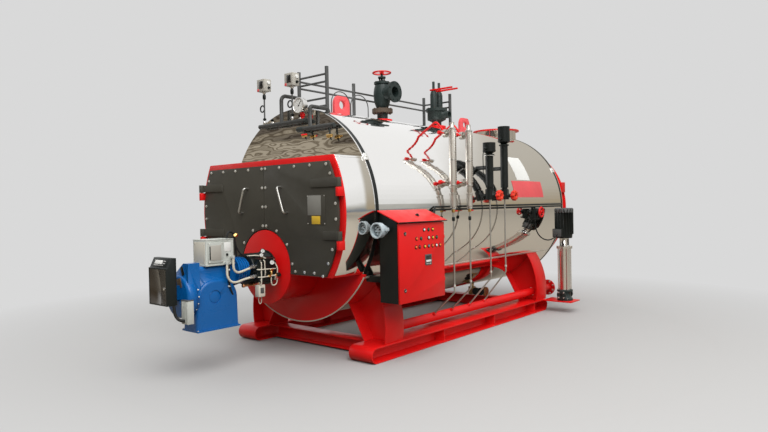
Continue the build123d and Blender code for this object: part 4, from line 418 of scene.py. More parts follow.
# %% [markdown]
# Four flexible lines hang between fittings: the pump's cable, a corrugated hose under the burner's
# panel and two braided oil hoses. Each is a NURBS curve whose control points are the route that the
# solids follow, so it bends smoothly and keeps its real length.

# %% Cords
PUMP_CABLE = (
    (1.092, 3.195, 1.310), (1.092, 3.197, 1.220), (1.105, 3.215, 1.110), (1.145, 3.275, 1.020),
    (1.195, 3.370, 0.985), (1.235, 3.460, 1.010), (1.255, 3.520, 1.060),
)
PANEL_HOSE = (
    (0.120, -1.500, 0.685), (0.120, -1.498, 0.625), (0.132, -1.482, 0.575), (0.150, -1.455, 0.552),
    (0.156, -1.425, 0.548),
)
OIL_HOSE_1 = (
    (0.140, -0.905, 1.036), (0.144, -0.912, 0.985), (0.152, -0.912, 0.935), (0.160, -0.880, 0.903),
    (0.166, -0.825, 0.913), (0.170, -0.760, 0.932), (0.172, -0.700, 0.944),
)
OIL_HOSE_2 = (
    (0.140, -0.975, 0.985), (0.148, -0.982, 0.930), (0.156, -0.985, 0.873), (0.164, -0.950, 0.826),
    (0.169, -0.895, 0.818), (0.172, -0.830, 0.836), (0.174, -0.765, 0.846), (0.175, -0.700, 0.853),
)
OIL_HOSE_R = 0.011


def bent_line(name, route, radius, sides, steps):
    """A round NURBS line that bends smoothly past the points of its route."""
    curve = bpy.data.curves.new(name, "CURVE")
    curve.dimensions = "3D"
    curve.bevel_depth = radius
    curve.bevel_resolution = sides
    curve.resolution_u = steps
    curve.use_fill_caps = True
    spline = curve.splines.new("NURBS")
    spline.points.add(len(route) - 1)
    for point, place in zip(spline.points, route):
        point.co = (*spot(*place), 1)
    spline.order_u = 3
    spline.use_endpoint_u = True
    return curve


def cord(name, route, radius, finish):
    curve = bent_line(name, route, radius, 5, 10)
    curve.materials.append(FINISH[finish])
    made = bpy.data.objects.new(name + "_line", curve)
    bpy.context.scene.collection.objects.link(made)
    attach(made, "boiler")
    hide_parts(name)


cord("pump_cable", PUMP_CABLE, 0.008, "rubber")
cord("panel_hose", PANEL_HOSE, 0.013, "rubber")
cord("oil_hose_1", OIL_HOSE_1, OIL_HOSE_R, "braid")
cord("oil_hose_2", OIL_HOSE_2, OIL_HOSE_R, "braid")
print("cords 4, the longest 0.604 m")

# %% [markdown]
# What a fitter adds last is small and comes in numbers: bolt heads, lamps, dials, pipe unions. Each
# one is a profile spun on a lathe, a pressed block or a bent tube, so a few helpers make them all. A
# group of them is one mesh, with a material index for each finish in it, and rides on one body.

# %% Helpers for small parts
FRONT, REAR = (0, -1, 0), (0, 1, 0)
RIGHT = (1, 0, 0)
UP, DOWN = (0, 0, 1), (0, 0, -1)
# Bolt circles start off the axis by half the step between four or eight bolts.
HALF_OF_FOUR, HALF_OF_EIGHT = 0.785, 0.39


def along(place, axis=UP, turn=0.0):
    """A matrix that stands a shape made along Z at a place, along an axis."""
    tilt = Vector(axis).to_track_quat("Z", "Y").to_matrix().to_4x4()
    return Matrix.Translation(place) @ tilt @ Matrix.Rotation(turn, 4, "Z")


def merge(bm, shape, matrix, index):
    """Puts a finished shape into a group, in the group's finish of that index."""
    for face in shape.faces:
        face.material_index = index
    bmesh.ops.transform(shape, matrix=matrix, verts=shape.verts)
    mesh = bpy.data.meshes.new("shape")
    shape.to_mesh(mesh)
    shape.free()
    bm.from_mesh(mesh)
    bpy.data.meshes.remove(mesh)


def lathe(bm, outline, matrix, index=0, steps=20, closed=False):
    """Spins (radius, height) points round Z."""
    shape = bmesh.new()
    verts = [shape.verts.new((radius, 0, height)) for radius, height in outline]
    pairs = list(zip(verts, verts[1:]))
    if closed:
        pairs.append((verts[-1], verts[0]))
    edges = [shape.edges.new(pair) for pair in pairs]
    bmesh.ops.spin(
        shape, geom=verts + edges, cent=(0, 0, 0), axis=UP, angle=2 * math.pi, steps=steps,
        use_merge=True,
    )
    bmesh.ops.remove_doubles(shape, verts=shape.verts, dist=0.00001)
    bmesh.ops.recalc_face_normals(shape, faces=shape.faces)
    merge(bm, shape, matrix, index)


def spindle(foot, body, top, low, high, height):
    """The outline of a solid turned part whose body narrows at both ends."""
    return [(0, 0), (foot, 0), (body, low), (body, high), (top, height), (0, height)]


def hoop(inner, outer, ease, height):
    """The outline of a ring with eased outer edges, for a closed spin."""
    return [(inner, 0), (outer, ease), (outer, height - ease), (inner, height)]


def slab(bm, size, matrix, index=0, ease=0.0015):
    """A block of a given size, centred on its place, with its edges eased."""
    shape = bmesh.new()
    bmesh.ops.create_cube(shape, size=1)
    bmesh.ops.scale(shape, vec=size, verts=shape.verts)
    bmesh.ops.bevel(
        shape, geom=shape.edges[:], offset=min(ease, min(size) / 3), offset_type="OFFSET", segments=2,
        profile=0.5, affect="EDGES", clamp_overlap=True, material=-1,
    )
    merge(bm, shape, matrix, index)


def tube(bm, points, radius, index=0):
    """A smoothly bent tube, from a curve with a round bevel."""
    curve = bent_line("tube", points, radius, 2, 6)
    holder = bpy.data.objects.new("tube", curve)
    mesh = bpy.data.meshes.new_from_object(holder)
    mesh.polygons.foreach_set("material_index", [index] * len(mesh.polygons))
    bm.from_mesh(mesh)
    bpy.data.meshes.remove(mesh)
    bpy.data.objects.remove(holder)
    bpy.data.curves.remove(curve)


def bolts(bm, places, axis, size, index=0):
    """Hexagon heads on washers, facing along an axis."""
    for place in places:
        head = bmesh.new()
        bmesh.ops.create_cone(
            head, cap_ends=True, segments=12, radius1=1.35 * size, radius2=1.35 * size,
            depth=0.3 * size, matrix=Matrix.Translation((0, 0, 0.1 * size)),
        )
        bmesh.ops.create_cone(
            head, cap_ends=True, segments=6, radius1=size, radius2=0.92 * size,
            depth=0.7 * size, matrix=Matrix.Translation((0, 0, 0.55 * size)),
        )
        merge(bm, head, along(place, axis), index)


def ring_places(centre, axis, radius, count, start=0.0):
    """Places round a bolt circle."""
    stand = along(centre, axis)
    angles = [start + 2 * math.pi * i / count for i in range(count)]
    return [stand @ Vector((radius * math.cos(a), radius * math.sin(a), 0)) for a in angles]


# %% [markdown]
# The door leaves are bolted through round every edge, along the seam and round the burner's disc, so
# that they can be drawn tight on their lining. The rows follow the leaf's own outline: straight at
# the top and bottom, and on the drum's circle at the hinge side, where the straps leave gaps. The
# right leaf also carries a bare data plate with two fields, held by four screws.

# %% Bolts on the door leaves
LEAF_FACE = -0.427
LEAF_TOP_ROW, LEAF_BOTTOM_ROW, LEAF_SEAM_ROW = 1.877, 0.888, 0.026
STRAP_HEIGHTS = (1.710, 1.235)
STRAP_CLEAR = 0.055
FURNACE_HEIGHT = 0.910
DISC_ROW_R, HINGE_ROW_R = 0.402, 0.992
LEAF_BOLT = 0.0108


def leaf_bolt_places(side):
    rows = [(LEAF_SEAM_ROW + 0.213 * i, LEAF_TOP_ROW) for i in range(5)]
    rows += [(LEAF_SEAM_ROW, LEAF_TOP_ROW - 0.187 * i) for i in range(1, 4)]
    rows += [(right, LEAF_BOTTOM_ROW) for right in (0.440, 0.570, 0.700)]
    for degrees in (27, 55, 83):
        angle = math.radians(degrees)
        rows.append((DISC_ROW_R * math.sin(angle), FURNACE_HEIGHT + DISC_ROW_R * math.cos(angle)))
    for degrees in range(21, -38, -8):
        angle = math.radians(degrees)
        up = DRUM_Z + HINGE_ROW_R * math.sin(angle)
        if min(abs(up - height) for height in STRAP_HEIGHTS) > STRAP_CLEAR:
            rows.append((HINGE_ROW_R * math.cos(angle), up))
    return [spot(side * right, LEAF_FACE, up) for right, up in rows]


for side, body in ((-1, "door_left_body"), (1, "door_right_body")):
    bm = bmesh.new()
    places = leaf_bolt_places(side)
    bolts(bm, places, FRONT, LEAF_BOLT)
    finish_piece(bm, body + "_bolts", ["zinc"], body)
print("bolts on a leaf", len(places))

# %% Bare data plate on the right leaf
bm = bmesh.new()
slab(bm, (0.241, 0.275, 0.003), along(spot(0.741, LEAF_FACE - 0.0015, 1.468), FRONT), 0, 0.0008)
slab(bm, (0.176, 0.180, 0.002), along(spot(0.718, LEAF_FACE - 0.0035, 1.508), FRONT), 1, 0.0006)
slab(bm, (0.112, 0.074, 0.002), along(spot(0.738, LEAF_FACE - 0.0035, 1.374), FRONT), 2, 0.0006)
screws = [spot(right, LEAF_FACE - 0.003, up) for right in (0.632, 0.850) for up in (1.342, 1.594)]
bolts(bm, screws, FRONT, 0.004, 3)
finish_piece(bm, "data_plate", ["door_grey", "plate_grey", "ochre", "zinc"], "door_right_body")
print("data plate 241 by 275 mm")

# %% [markdown]
# The jacket's sheets are held by two straps with clamps, and a trim bar covers the joint between the
# upper and lower sheets. A strap is a thin ring, spun round the drum's axis, because a bent strip
# would have to be fitted to the circle. It is only 0.6 mm thick, so that the boiler grows no wider.

# %% Straps, clamps and trim
STRAP_WIDTH, STRAP_THICK = 0.048, 0.0006
STRAP_BACKS = (0.010, 4.058)
CLAMP_RIGHT = 0.94
JOINT_HEIGHT = 0.810

bm = bmesh.new()
strap = [(DRUM_R, 0), (DRUM_R + STRAP_THICK, 0), (DRUM_R + STRAP_THICK, STRAP_WIDTH), (DRUM_R, STRAP_WIDTH)]
for back in STRAP_BACKS:
    lathe(bm, strap, along(spot(0, back, DRUM_Z), REAR), 0, 128, closed=True)
    for right in (-CLAMP_RIGHT, CLAMP_RIGHT):
        up = math.sqrt(DRUM_R ** 2 - right ** 2)
        normal = Vector((right, 0, up)) / DRUM_R
        place = spot(right, back + STRAP_WIDTH / 2, DRUM_Z + up)
        slab(bm, (0.046, 0.075, 0.014), along(place + normal * 0.006, normal), 1)
        bolts(bm, [place + normal * 0.013], normal, 0.009, 1)
joint_right = math.sqrt(DRUM_R ** 2 - (DRUM_Z - JOINT_HEIGHT) ** 2)
for side in (-1, 1):
    normal = Vector((side * joint_right, 0, JOINT_HEIGHT - DRUM_Z)) / DRUM_R
    place = spot(side * joint_right, DRUM_LENGTH / 2, JOINT_HEIGHT) + normal * 0.001
    slab(bm, (DRUM_LENGTH - 0.16, 0.026, 0.004), along(place, normal), 1)
finish_piece(bm, "jacket_straps", ["black", "zinc"], "boiler")
print("straps", len(STRAP_BACKS), "joint bar at", JOINT_HEIGHT)

# %% [markdown]
# Two bare sign plates lie on the jacket behind the level fittings. They follow the drum's curve: an
# edge laid along the drum is spun through a few degrees and given its thickness.

# %% Bare plates on the jacket
def curved_plate(bm, backs, degrees, index):
    shape = bmesh.new()
    verts = [shape.verts.new((DRUM_R + 0.0005, back, 0)) for back in backs]
    edge = shape.edges.new(verts)
    start, end = [math.radians(angle) for angle in degrees]
    bmesh.ops.rotate(shape, cent=(0, 0, 0), matrix=Matrix.Rotation(-start, 3, "Y"), verts=verts)
    bmesh.ops.spin(
        shape, geom=verts + [edge], cent=(0, 0, 0), axis=FRONT, angle=end - start, steps=8,
    )
    bmesh.ops.recalc_face_normals(shape, faces=shape.faces)
    bmesh.ops.solidify(shape, geom=shape.faces[:], thickness=-0.003)
    bmesh.ops.recalc_face_normals(shape, faces=shape.faces)
    merge(bm, shape, Matrix.Translation(spot(0, 0, DRUM_Z)), index)


bm = bmesh.new()
curved_plate(bm, (2.870, 3.222), (19.3, 38.0), 0)
curved_plate(bm, (2.705, 3.512), (7.0, 18.6), 1)
finish_piece(bm, "sign_plates", ["white", "pink_red"], "boiler")
print("sign plates 2")

# %% [markdown]
# On the front crown stand two pressure switches on siphon pipes and a dial gauge. A siphon's ring of
# pipe holds water, so that steam never reaches the instrument. It could be a bent curve, but a small
# circle spun round an axis closes on itself. The dial has plain marks and no words, each mark a
# pressed block turned about the dial's centre, so that it catches light as a printed line would not.

# %% Pressure switches and siphons
SWITCH_RIGHTS = (-0.417, 0.030)
SWITCH_FACE, SWITCH_SIDE = -0.1055, 0.062
STEM_BACK = -0.060
SIPHON_R, SIPHON_PIPE = 0.034, 0.0075
# Height, length and finish of each union on a switch's stem.
STEM_UNIONS = ((2.385, 0.036, 4), (2.430, 0.022, 3), (2.655, 0.050, 3), (2.712, 0.026, 4))
SWITCH_FINISHES = ["dark_glass", "pink_red", "white", "black", "bright"]


def round_section(centre, radius, count=10):
    angles = [2 * math.pi * i / count for i in range(count)]
    return [(centre + radius * math.cos(a), radius * math.sin(a)) for a in angles]


bm = bmesh.new()
button = [(0, 0.012), (0.018, 0.010), (0.021, 0), (0.021, -0.002), (0, -0.002)]
gland = [(0, 0.022), (0.010, 0.022), (0.014, 0.008), (0.014, -0.002), (0, -0.002)]
for right in SWITCH_RIGHTS:
    slab(bm, (0.062, 0.078, 0.005), along(spot(right + 0.004, SWITCH_FACE, 2.803), FRONT), 0)
    slab(bm, (0.030, 0.026, 0.004), along(spot(right - 0.045, SWITCH_FACE, 2.750), FRONT), 1)
    lathe(bm, button, along(spot(right + SWITCH_SIDE, STEM_BACK + 0.010, 2.826), RIGHT), 2)
    lathe(bm, gland, along(spot(right + SWITCH_SIDE, STEM_BACK + 0.010, 2.772), RIGHT), 3)
    siphon = along(spot(right - SIPHON_R, STEM_BACK, 2.556), REAR)
    lathe(bm, round_section(SIPHON_R, SIPHON_PIPE), siphon, 3, 24, closed=True)
    for up, height, finish in STEM_UNIONS:
        union = spindle(0.016, 0.018, 0.014, 0.2 * height, 0.8 * height, height)
        lathe(bm, union, along(spot(right, STEM_BACK, up)), finish, 12)
finish_piece(bm, "switch_fittings", SWITCH_FINISHES, "boiler")
print("siphon ring", 2 * SIPHON_R, "m across")

# %% Dial gauge
DIAL_RIGHT, DIAL_BACK, DIAL_UP = 0.182, -0.108, 2.515
DIAL_MARKS = 11
DIAL_FINISHES = ["bright", "white", "black", "valve_green", "red"]

bm = bmesh.new()
stand = along(spot(DIAL_RIGHT, DIAL_BACK, DIAL_UP), FRONT)
bezel = [
    (0.071, 0.001), (0.071, 0.008), (0.074, 0.012), (0.079, 0.010), (0.0805, 0.004), (0.0805, -0.020),
    (0.0795, -0.020), (0.0795, 0.0),
]
lathe(bm, bezel, stand, 0, 40, closed=True)
lathe(bm, [(0, 0.0025), (0.0715, 0.0025), (0.0715, -0.001), (0, -0.001)], stand, 1, 40)
for mark in range(DIAL_MARKS):
    angle = math.radians(225 - 27 * mark)
    spoke = stand @ Matrix.Rotation(angle, 4, "Z") @ Matrix.Translation((0.058, 0, 0.003))
    slab(bm, (0.010, 0.0015 if mark % 5 else 0.003, 0.001), spoke, 2, 0.0002)
hand = stand @ Matrix.Rotation(math.radians(48), 4, "Z") @ Matrix.Translation((0.018, 0, 0.0055))
slab(bm, (0.070, 0.005, 0.0015), hand, 3, 0.0004)
lathe(bm, [(0, 0.009), (0.006, 0.008), (0.008, 0.002), (0, 0.002)], stand, 2, 16)
cock = [(0, 0), (0.017, 0), (0.017, 0.018), (0.026, 0.024), (0.026, 0.052), (0.013, 0.060), (0, 0.060)]
lathe(bm, cock, along(spot(DIAL_RIGHT, STEM_BACK, 2.385)), 4, 16)
finish_piece(bm, "gauge_dial", DIAL_FINISHES, "boiler")
print("dial marks", DIAL_MARKS)

# %% [markdown]
# The two manifolds end in small cocks: a brass body with a red or brass lever, hanging from the pipe
# on a short stub, for letting pressure off an instrument. The necks are bent tubes and the bodies
# are turned, as the real ones are.

# %% Cocks on the manifolds
MANIFOLD_UP = 2.281

bm = bmesh.new()
stub = spindle(0.024, 0.027, 0.018, 0.02, 0.09, 0.104)
lathe(bm, stub, along(spot(0.200, STEM_BACK, MANIFOLD_UP), (-1, 0, 0)), 0, 20)
barrel = spindle(0.013, 0.019, 0.012, 0.012, 0.058, 0.072)
for right, up, lever in ((0.205, 2.250, 1), (0.560, 2.215, 2)):
    neck = [
        (right, STEM_BACK, MANIFOLD_UP), (right + 0.004, STEM_BACK, up),
        (right + 0.012, STEM_BACK, up - 0.045),
    ]
    tube(bm, neck, 0.010, 0)
    lathe(bm, barrel, along(spot(right - 0.028, STEM_BACK - 0.004, up - 0.040), (1, 0, 0.1)), 2, 16)
    grip = along(spot(right + 0.020, STEM_BACK - 0.024, up - 0.030), (0.2, -1, 0.5))
    slab(bm, (0.070, 0.016, 0.008), grip, lever)
    tube(bm, [(right + 0.010, STEM_BACK, up - 0.050), (right + 0.026, STEM_BACK, up - 0.075)], 0.007, 3)
plug = [(0, 0), (0.020, 0), (0.024, 0.010), (0.020, 0.024), (0, 0.024)]
for right, up in ((0.216, 2.365), (0.606, MANIFOLD_UP)):
    lathe(bm, plug, along(spot(right, STEM_BACK, up), RIGHT), 0)
finish_piece(bm, "manifold_cocks", ["pipe_dark", "red", "brass", "black"], "boiler")
print("cocks 2")

# %% [markdown]
# The steam valve's neck is held by a pair of rusty flanges, and its bonnet and the safety valve's
# chest by rings of bolts. Every ring is a centre, a radius and a way to face, so one table and one
# loop place them all, where an array modifier would need an object for each ring.

# %% Bolts on the crown's valves
STEAM_VALVE = (0.0, 1.405)
SAFETY_RIGHT, SAFETY_BACK = 0.092, 2.410
# Centre, radius, the way the heads face and their size.
CROWN_CIRCLES = (
    ((*STEAM_VALVE, 2.660), 0.104, UP, 0.012),
    ((*STEAM_VALVE, 2.612), 0.104, DOWN, 0.012),
    ((*STEAM_VALVE, 2.985), 0.079, UP, 0.009),
    ((SAFETY_RIGHT, SAFETY_BACK, 2.763), 0.126, UP, 0.009),
)

bm = bmesh.new()
for centre, radius, facing, size in CROWN_CIRCLES:
    bolts(bm, ring_places(spot(*centre), UP, radius, 8, HALF_OF_EIGHT), facing, size)
nut = [(0.0175, 0), (0.030, 0), (0.030, 0.010), (0.0175, 0.012)]
for step in (-0.062, 0.062):
    lathe(bm, nut, along(spot(SAFETY_RIGHT, SAFETY_BACK + step, 2.979)), 0, 6, closed=True)
finish_piece(bm, "crown_bolts", ["rust"], "boiler")
print("crown bolts", 8 * len(CROWN_CIRCLES))

# %% [markdown]
# Each level gauge has a row of dark view ports down its strip, collars round its chamber, bolted
# cocks with red levers, and a leg that ends in a small brass drain valve. The ports are many, so
# each is a plain disc of eight sides. The rest is turned from outlines listed once for both gauges.

# %% Level gauge fittings
GAUGE_BACKS = (1.185, 1.508)
GAUGE_RIGHT = 1.150
COCK_RIGHT = 1.066
COCK_HEIGHTS = (2.255, 1.732)
COLLAR_HEIGHTS = (1.690, 2.288, 1.960)
PORTS, PORT_PITCH, PORT_LOW = 21, 0.0240, 1.755
LEG_LOW = 1.460
LEVER_UP = LEG_LOW - 0.038
GAUGE_FINISHES = ["dark_glass", "bright", "red", "brass", "black", "satin"]
PORT = [(0, 0.001), (0.0055, 0.001), (0.0065, -0.001), (0, -0.001)]
COLLAR = hoop(0.036, 0.042, 0.002, 0.016)
KNOB = [
    (0, 0), (0.009, 0), (0.009, 0.046), (0.020, 0.050), (0.024, 0.062), (0.021, 0.088), (0.010, 0.094),
    (0, 0.094),
]
LEG = [(0, 0), (0.030, 0), (0.034, 0.006), (0.034, 0.136), (0.040, 0.138), (0.040, 0.150), (0, 0.150)]
LEG_NUT = spindle(0.030, 0.033, 0.030, 0.004, 0.018, 0.022)
DRAIN_COCK = spindle(0.017, 0.020, 0.016, 0.008, 0.030, 0.036)
DRAIN_SLEEVE = spindle(0.013, 0.017, 0.013, 0.010, 0.034, 0.044)
# Profile, how far its foot lies from the leg's foot, finish and steps.
LEG_PARTS = (
    (LEG, 0, 5, 24), (LEG_NUT, -0.020, 1, 6), (DRAIN_COCK, -0.054, 3, 6), (DRAIN_SLEEVE, -0.145, 4, 12),
)

bm = bmesh.new()
for back in GAUGE_BACKS:
    for step in range(PORTS):
        lathe(bm, PORT, along(spot(GAUGE_RIGHT + 0.0443, back, PORT_LOW + PORT_PITCH * step), RIGHT), 0, 8)
    for up in COLLAR_HEIGHTS:
        lathe(bm, COLLAR, along(spot(GAUGE_RIGHT, back, up)), 1, 28, closed=True)
    for up in COCK_HEIGHTS:
        for side in (1, -1):
            circle = ring_places(spot(COCK_RIGHT + side * 0.020, back, up), RIGHT, 0.032, 4, HALF_OF_FOUR)
            bolts(bm, circle, (side, 0, 0), 0.0065, 1)
        lathe(bm, KNOB, along(spot(COCK_RIGHT, back - 0.040, up), FRONT), 2, 14)
    for outline, rise, finish, steps in LEG_PARTS:
        lathe(bm, outline, along(spot(GAUGE_RIGHT, back, LEG_LOW + rise)), finish, steps)
    tube(bm, [(GAUGE_RIGHT, back, LEVER_UP), (GAUGE_RIGHT, back + 0.040, LEVER_UP)], 0.006, 3)
    slab(bm, (0.014, 0.050, 0.014), Matrix.Translation(spot(GAUGE_RIGHT, back + 0.050, LEVER_UP)), 2, 0.004)
finish_piece(bm, "gauge_fittings", GAUGE_FINISHES, "boiler")
print("view ports on a gauge", PORTS)

# %% [markdown]
# The level probes are black tubes with cable caps. Their drain valves have fluted red knobs, so a
# turned knob with eight round grips closes each small wheel between its rim and hub and turns with it.

# %% Probe fittings and fluted knobs
PROBE_RIGHT = 1.128
PROBE_BACKS = (1.985, 2.335)
# Lower edge, top and radius of each cap.
PROBE_CAPS = ((2.098, 2.203, 0.074), (2.233, 2.420, 0.072))
PROBE_WIRE = (
    (PROBE_RIGHT, 1.880, 2.125), (1.120, 1.855, 2.080), (1.105, 1.885, 1.960), (1.110, 1.875, 1.830),
    (1.118, 1.905, 1.720), (1.124, 1.935, 1.665), (1.126, 1.960, 1.640),
)
KNOB_RIGHT, KNOB_UP = 1.249, 1.585

bm = bmesh.new()
disc = along(spot(PROBE_RIGHT, PROBE_BACKS[0], PROBE_CAPS[0][0] - 0.050))
lathe(bm, hoop(0.034, 0.068, 0, 0.006), disc, 1, 28, closed=True)
gland = spindle(0.016, 0.018, 0.011, 0.012, 0.030, 0.042)
for back, (cap_low, cap_top, cap_r) in zip(PROBE_BACKS, PROBE_CAPS):
    rim = [(0.070, 0.004), (cap_r + 0.003, 0.006), (cap_r + 0.003, 0.016), (0.070, 0.018)]
    lathe(bm, rim, along(spot(PROBE_RIGHT, back, cap_low)), 0, 28, closed=True)
    crown = [(0, 0), (0.050, 0), (cap_r - 0.008, -0.006), (0, -0.006)]
    lathe(bm, crown, along(spot(PROBE_RIGHT, back, cap_top)), 0, 28)
    lathe(bm, gland, along(spot(PROBE_RIGHT, back - cap_r + 0.004, cap_low + 0.040), (0, -1, -0.3)), 0, 12)
    bolts(bm, ring_places(spot(PROBE_RIGHT, back, 1.660), UP, 0.043, 6), UP, 0.006)
tube(bm, PROBE_WIRE, 0.005)
finish_piece(bm, "probe_fittings", ["black", "bright"], "boiler")

knob = [
    (0.016, -0.016), (0.046, -0.014), (0.052, -0.006), (0.052, 0.022), (0.046, 0.032), (0.030, 0.034),
    (0.026, 0.026), (0.016, 0.024),
]
grip = [(0, -0.014), (0.011, -0.012), (0.013, -0.004), (0.013, 0.022), (0.009, 0.032), (0, 0.033)]
for number, back in enumerate(PROBE_BACKS, 1):
    bm = bmesh.new()
    centre = spot(KNOB_RIGHT, back, KNOB_UP)
    lathe(bm, knob, along(centre, RIGHT), 0, 32, closed=True)
    for place in ring_places(centre, RIGHT, 0.050, 8):
        lathe(bm, grip, along(place, RIGHT), 0, 10)
    finish_piece(bm, f"probe_wheel_{number}_dish", ["orange_red"], f"probe_wheel_{number}_body")
print("fluted knobs", len(PROBE_BACKS))

# %% [markdown]
# The control cabinet's door carries three rows of lamps and push buttons, a small controller and two
# quarter-turn locks. A lamp is a domed lens in a dark bezel: two outlines on one lathe, since half a
# ball would stand out too far. All of it swings with the door. The cabinet itself keeps an eye on
# its roof, a thin black strip under the roof's edge that is the painted shade of the overhang, and a
# plug socket on its front.

# %% Lamps, controller and locks on the cabinet door
DOOR_FACE = 1.322
LAMPS = (
    (0.422, 1.257, "white"), (0.493, 1.257, "lens_green"), (0.560, 1.257, "lens_yellow"),
    (0.302, 1.177, "lens_orange"), (0.373, 1.177, "lens_green"), (0.494, 1.177, "white"),
    (0.562, 1.177, "lens_yellow"), (0.625, 1.177, "lens_green"),
    (0.292, 1.098, "lens_orange"), (0.348, 1.098, "lens_red"), (0.430, 1.098, "lens_yellow"),
    (0.494, 1.098, "lens_blue"), (0.556, 1.098, "lens_orange"), (0.620, 1.098, "white"),
    (0.682, 1.098, "lens_orange"),
)
LAMP_FINISHES = ["black", "white", "lens_green", "lens_yellow", "lens_orange", "lens_red", "lens_blue"]
LAMP_RIM = [(0.0125, -0.001), (0.0185, -0.001), (0.0185, 0.003), (0.0155, 0.006), (0.0125, 0.006)]
LAMP_DOME = [(0, 0.0125), (0.006, 0.0118), (0.0105, 0.0090), (0.0130, 0.0045), (0.0130, 0.0), (0, 0.0)]
# Size, step across the door, height and finish of each field on the controller.
SCREEN_FIELDS = (
    ((0.078, 0.040, 0.004), 0, 0.022, 1), ((0.078, 0.020, 0.004), 0, -0.012, 2),
    ((0.016, 0.010, 0.004), -0.028, -0.038, 3), ((0.016, 0.010, 0.004), 0.0, -0.038, 3),
    ((0.016, 0.010, 0.004), 0.028, -0.038, 3),
)
LOCK = [(0, 0.007), (0.011, 0.006), (0.018, 0.003), (0.020, -0.001), (0, -0.001)]
CONTROL_FINISHES = ["pipe_grey", "dark_glass", "white", "box_grey", "bright"]

bm = bmesh.new()
for back, up, lens in LAMPS:
    stand = along(spot(DOOR_FACE, back, up), RIGHT)
    lathe(bm, LAMP_RIM, stand, 0, 20, closed=True)
    lathe(bm, LAMP_DOME, stand, LAMP_FINISHES.index(lens), 20)
finish_piece(bm, "cabinet_lamps", LAMP_FINISHES, "cabinet_door_body")

bm = bmesh.new()
screen = spot(DOOR_FACE, 0.4825, 0.968)
slab(bm, (0.103, 0.104, 0.012), along(screen, RIGHT), 0, 0.003)
for size, step, up, finish in SCREEN_FIELDS:
    slab(bm, size, along(screen + Vector((0.006, step, up)), RIGHT), finish)
for back, up in ((0.129, 1.231), (0.121, 0.708)):
    stand = along(spot(DOOR_FACE, back, up), RIGHT, 0.4)
    lathe(bm, LOCK, stand, 1, 24)
    slab(bm, (0.020, 0.006, 0.006), stand @ Matrix.Translation((0, 0, 0.007)), 4, 0.001)
finish_piece(bm, "cabinet_controls", CONTROL_FINISHES, "cabinet_door_body")
print("lamps", len(LAMPS))

# %% Cabinet roof eye, painted shade strip and plug socket
ROOF_NORMAL = Vector((0.4245, 0, 1)).normalized()
SOCKET_RIGHT, SOCKET_UP = 1.150, 1.268
SOCKET_PINS = 5

bm = bmesh.new()
eye = [
    (0, 0.020), (0.010, 0.018), (0.013, 0.012), (0.013, 0.006), (0.022, 0.004), (0.022, -0.002), (0, -0.002),
]
lathe(bm, eye, along(spot(1.222, 0.450, 1.3932), ROOF_NORMAL), 0, 20)
# A thin black strip over the door: painted shade under the roof's overhang.
slab(bm, (0.690, 0.012, 0.004), along(spot(1.3025, 0.3975, 1.335), RIGHT), 0)
socket = spot(SOCKET_RIGHT, -0.0155, SOCKET_UP)
lathe(bm, [(0, 0.030), (0.040, 0.030), (0.046, 0.026), (0.046, 0), (0, 0)], along(socket, FRONT), 1, 32)
pin = [(0, 0.024), (0.004, 0.023), (0.005, 0.018), (0.005, 0), (0, 0)]
for place in ring_places(socket + Vector((0, -0.028, 0)), FRONT, 0.026, SOCKET_PINS, 0.3):
    lathe(bm, pin, along(place, FRONT), 0, 10)
lip = along(spot(SOCKET_RIGHT, -0.078, SOCKET_UP), REAR)
lathe(bm, hoop(0.0690, 0.0735, 0.002, 0.014), lip, 1, 40, closed=True)
slab(bm, (0.018, 0.052, 0.032), Matrix.Translation(spot(1.226, -0.014, 1.276)), 1, 0.004)
finish_piece(bm, "cabinet_fittings", ["black", "socket_grey"], "boiler")
print("socket pins", SOCKET_PINS)

# %% [markdown]
# The burner is where most of the small work is. Its panel has a slanted display over a pressed door
# with a lock, the snail shell a slot, which is a black block that paints the shade in its opening, and a
# bare tag, and the boxes have covers, ribs and wires. The covers could be cut into the boxes, but thin
# blocks laid on them keep the solids as they are, and their eased edges draw the line of shadow that a
# real lid has.

# %% Burner panel
# Size and place on the slope, then finish.
DISPLAY_FIELDS = (
    ((0.120, 0.034, 0.004), (-0.026, 0.006, 0.002), 1),
    ((0.012, 0.010, 0.003), (0.056, 0.014, 0.003), 2),
    ((0.012, 0.010, 0.003), (0.073, 0.014, 0.003), 2),
    ((0.012, 0.010, 0.003), (0.056, -0.006, 0.003), 2),
    ((0.012, 0.010, 0.003), (0.073, -0.006, 0.003), 2),
    ((0.150, 0.006, 0.003), (-0.016, -0.022, 0.002), 2),
)

bm = bmesh.new()
slope = along(spot(-0.011, -1.5384, 1.0435), (0, -0.9, 0.434))
slab(bm, (0.215, 0.070, 0.004), slope, 0, 0.002)
for size, place, finish in DISPLAY_FIELDS:
    slab(bm, size, slope @ Matrix.Translation(place), finish)
lock = [(0, 0.0028), (0.008, 0.0028), (0.011, 0.001), (0.011, -0.001), (0, -0.001)]
lathe(bm, lock, along(spot(0.082, -1.5670, 0.830), FRONT), 2, 16)
finish_piece(bm, "panel_front", ["black", "white", "bright"], "boiler")
print("display fields", len(DISPLAY_FIELDS))

# %% Fan housing
SHELL_BOLTS = 18

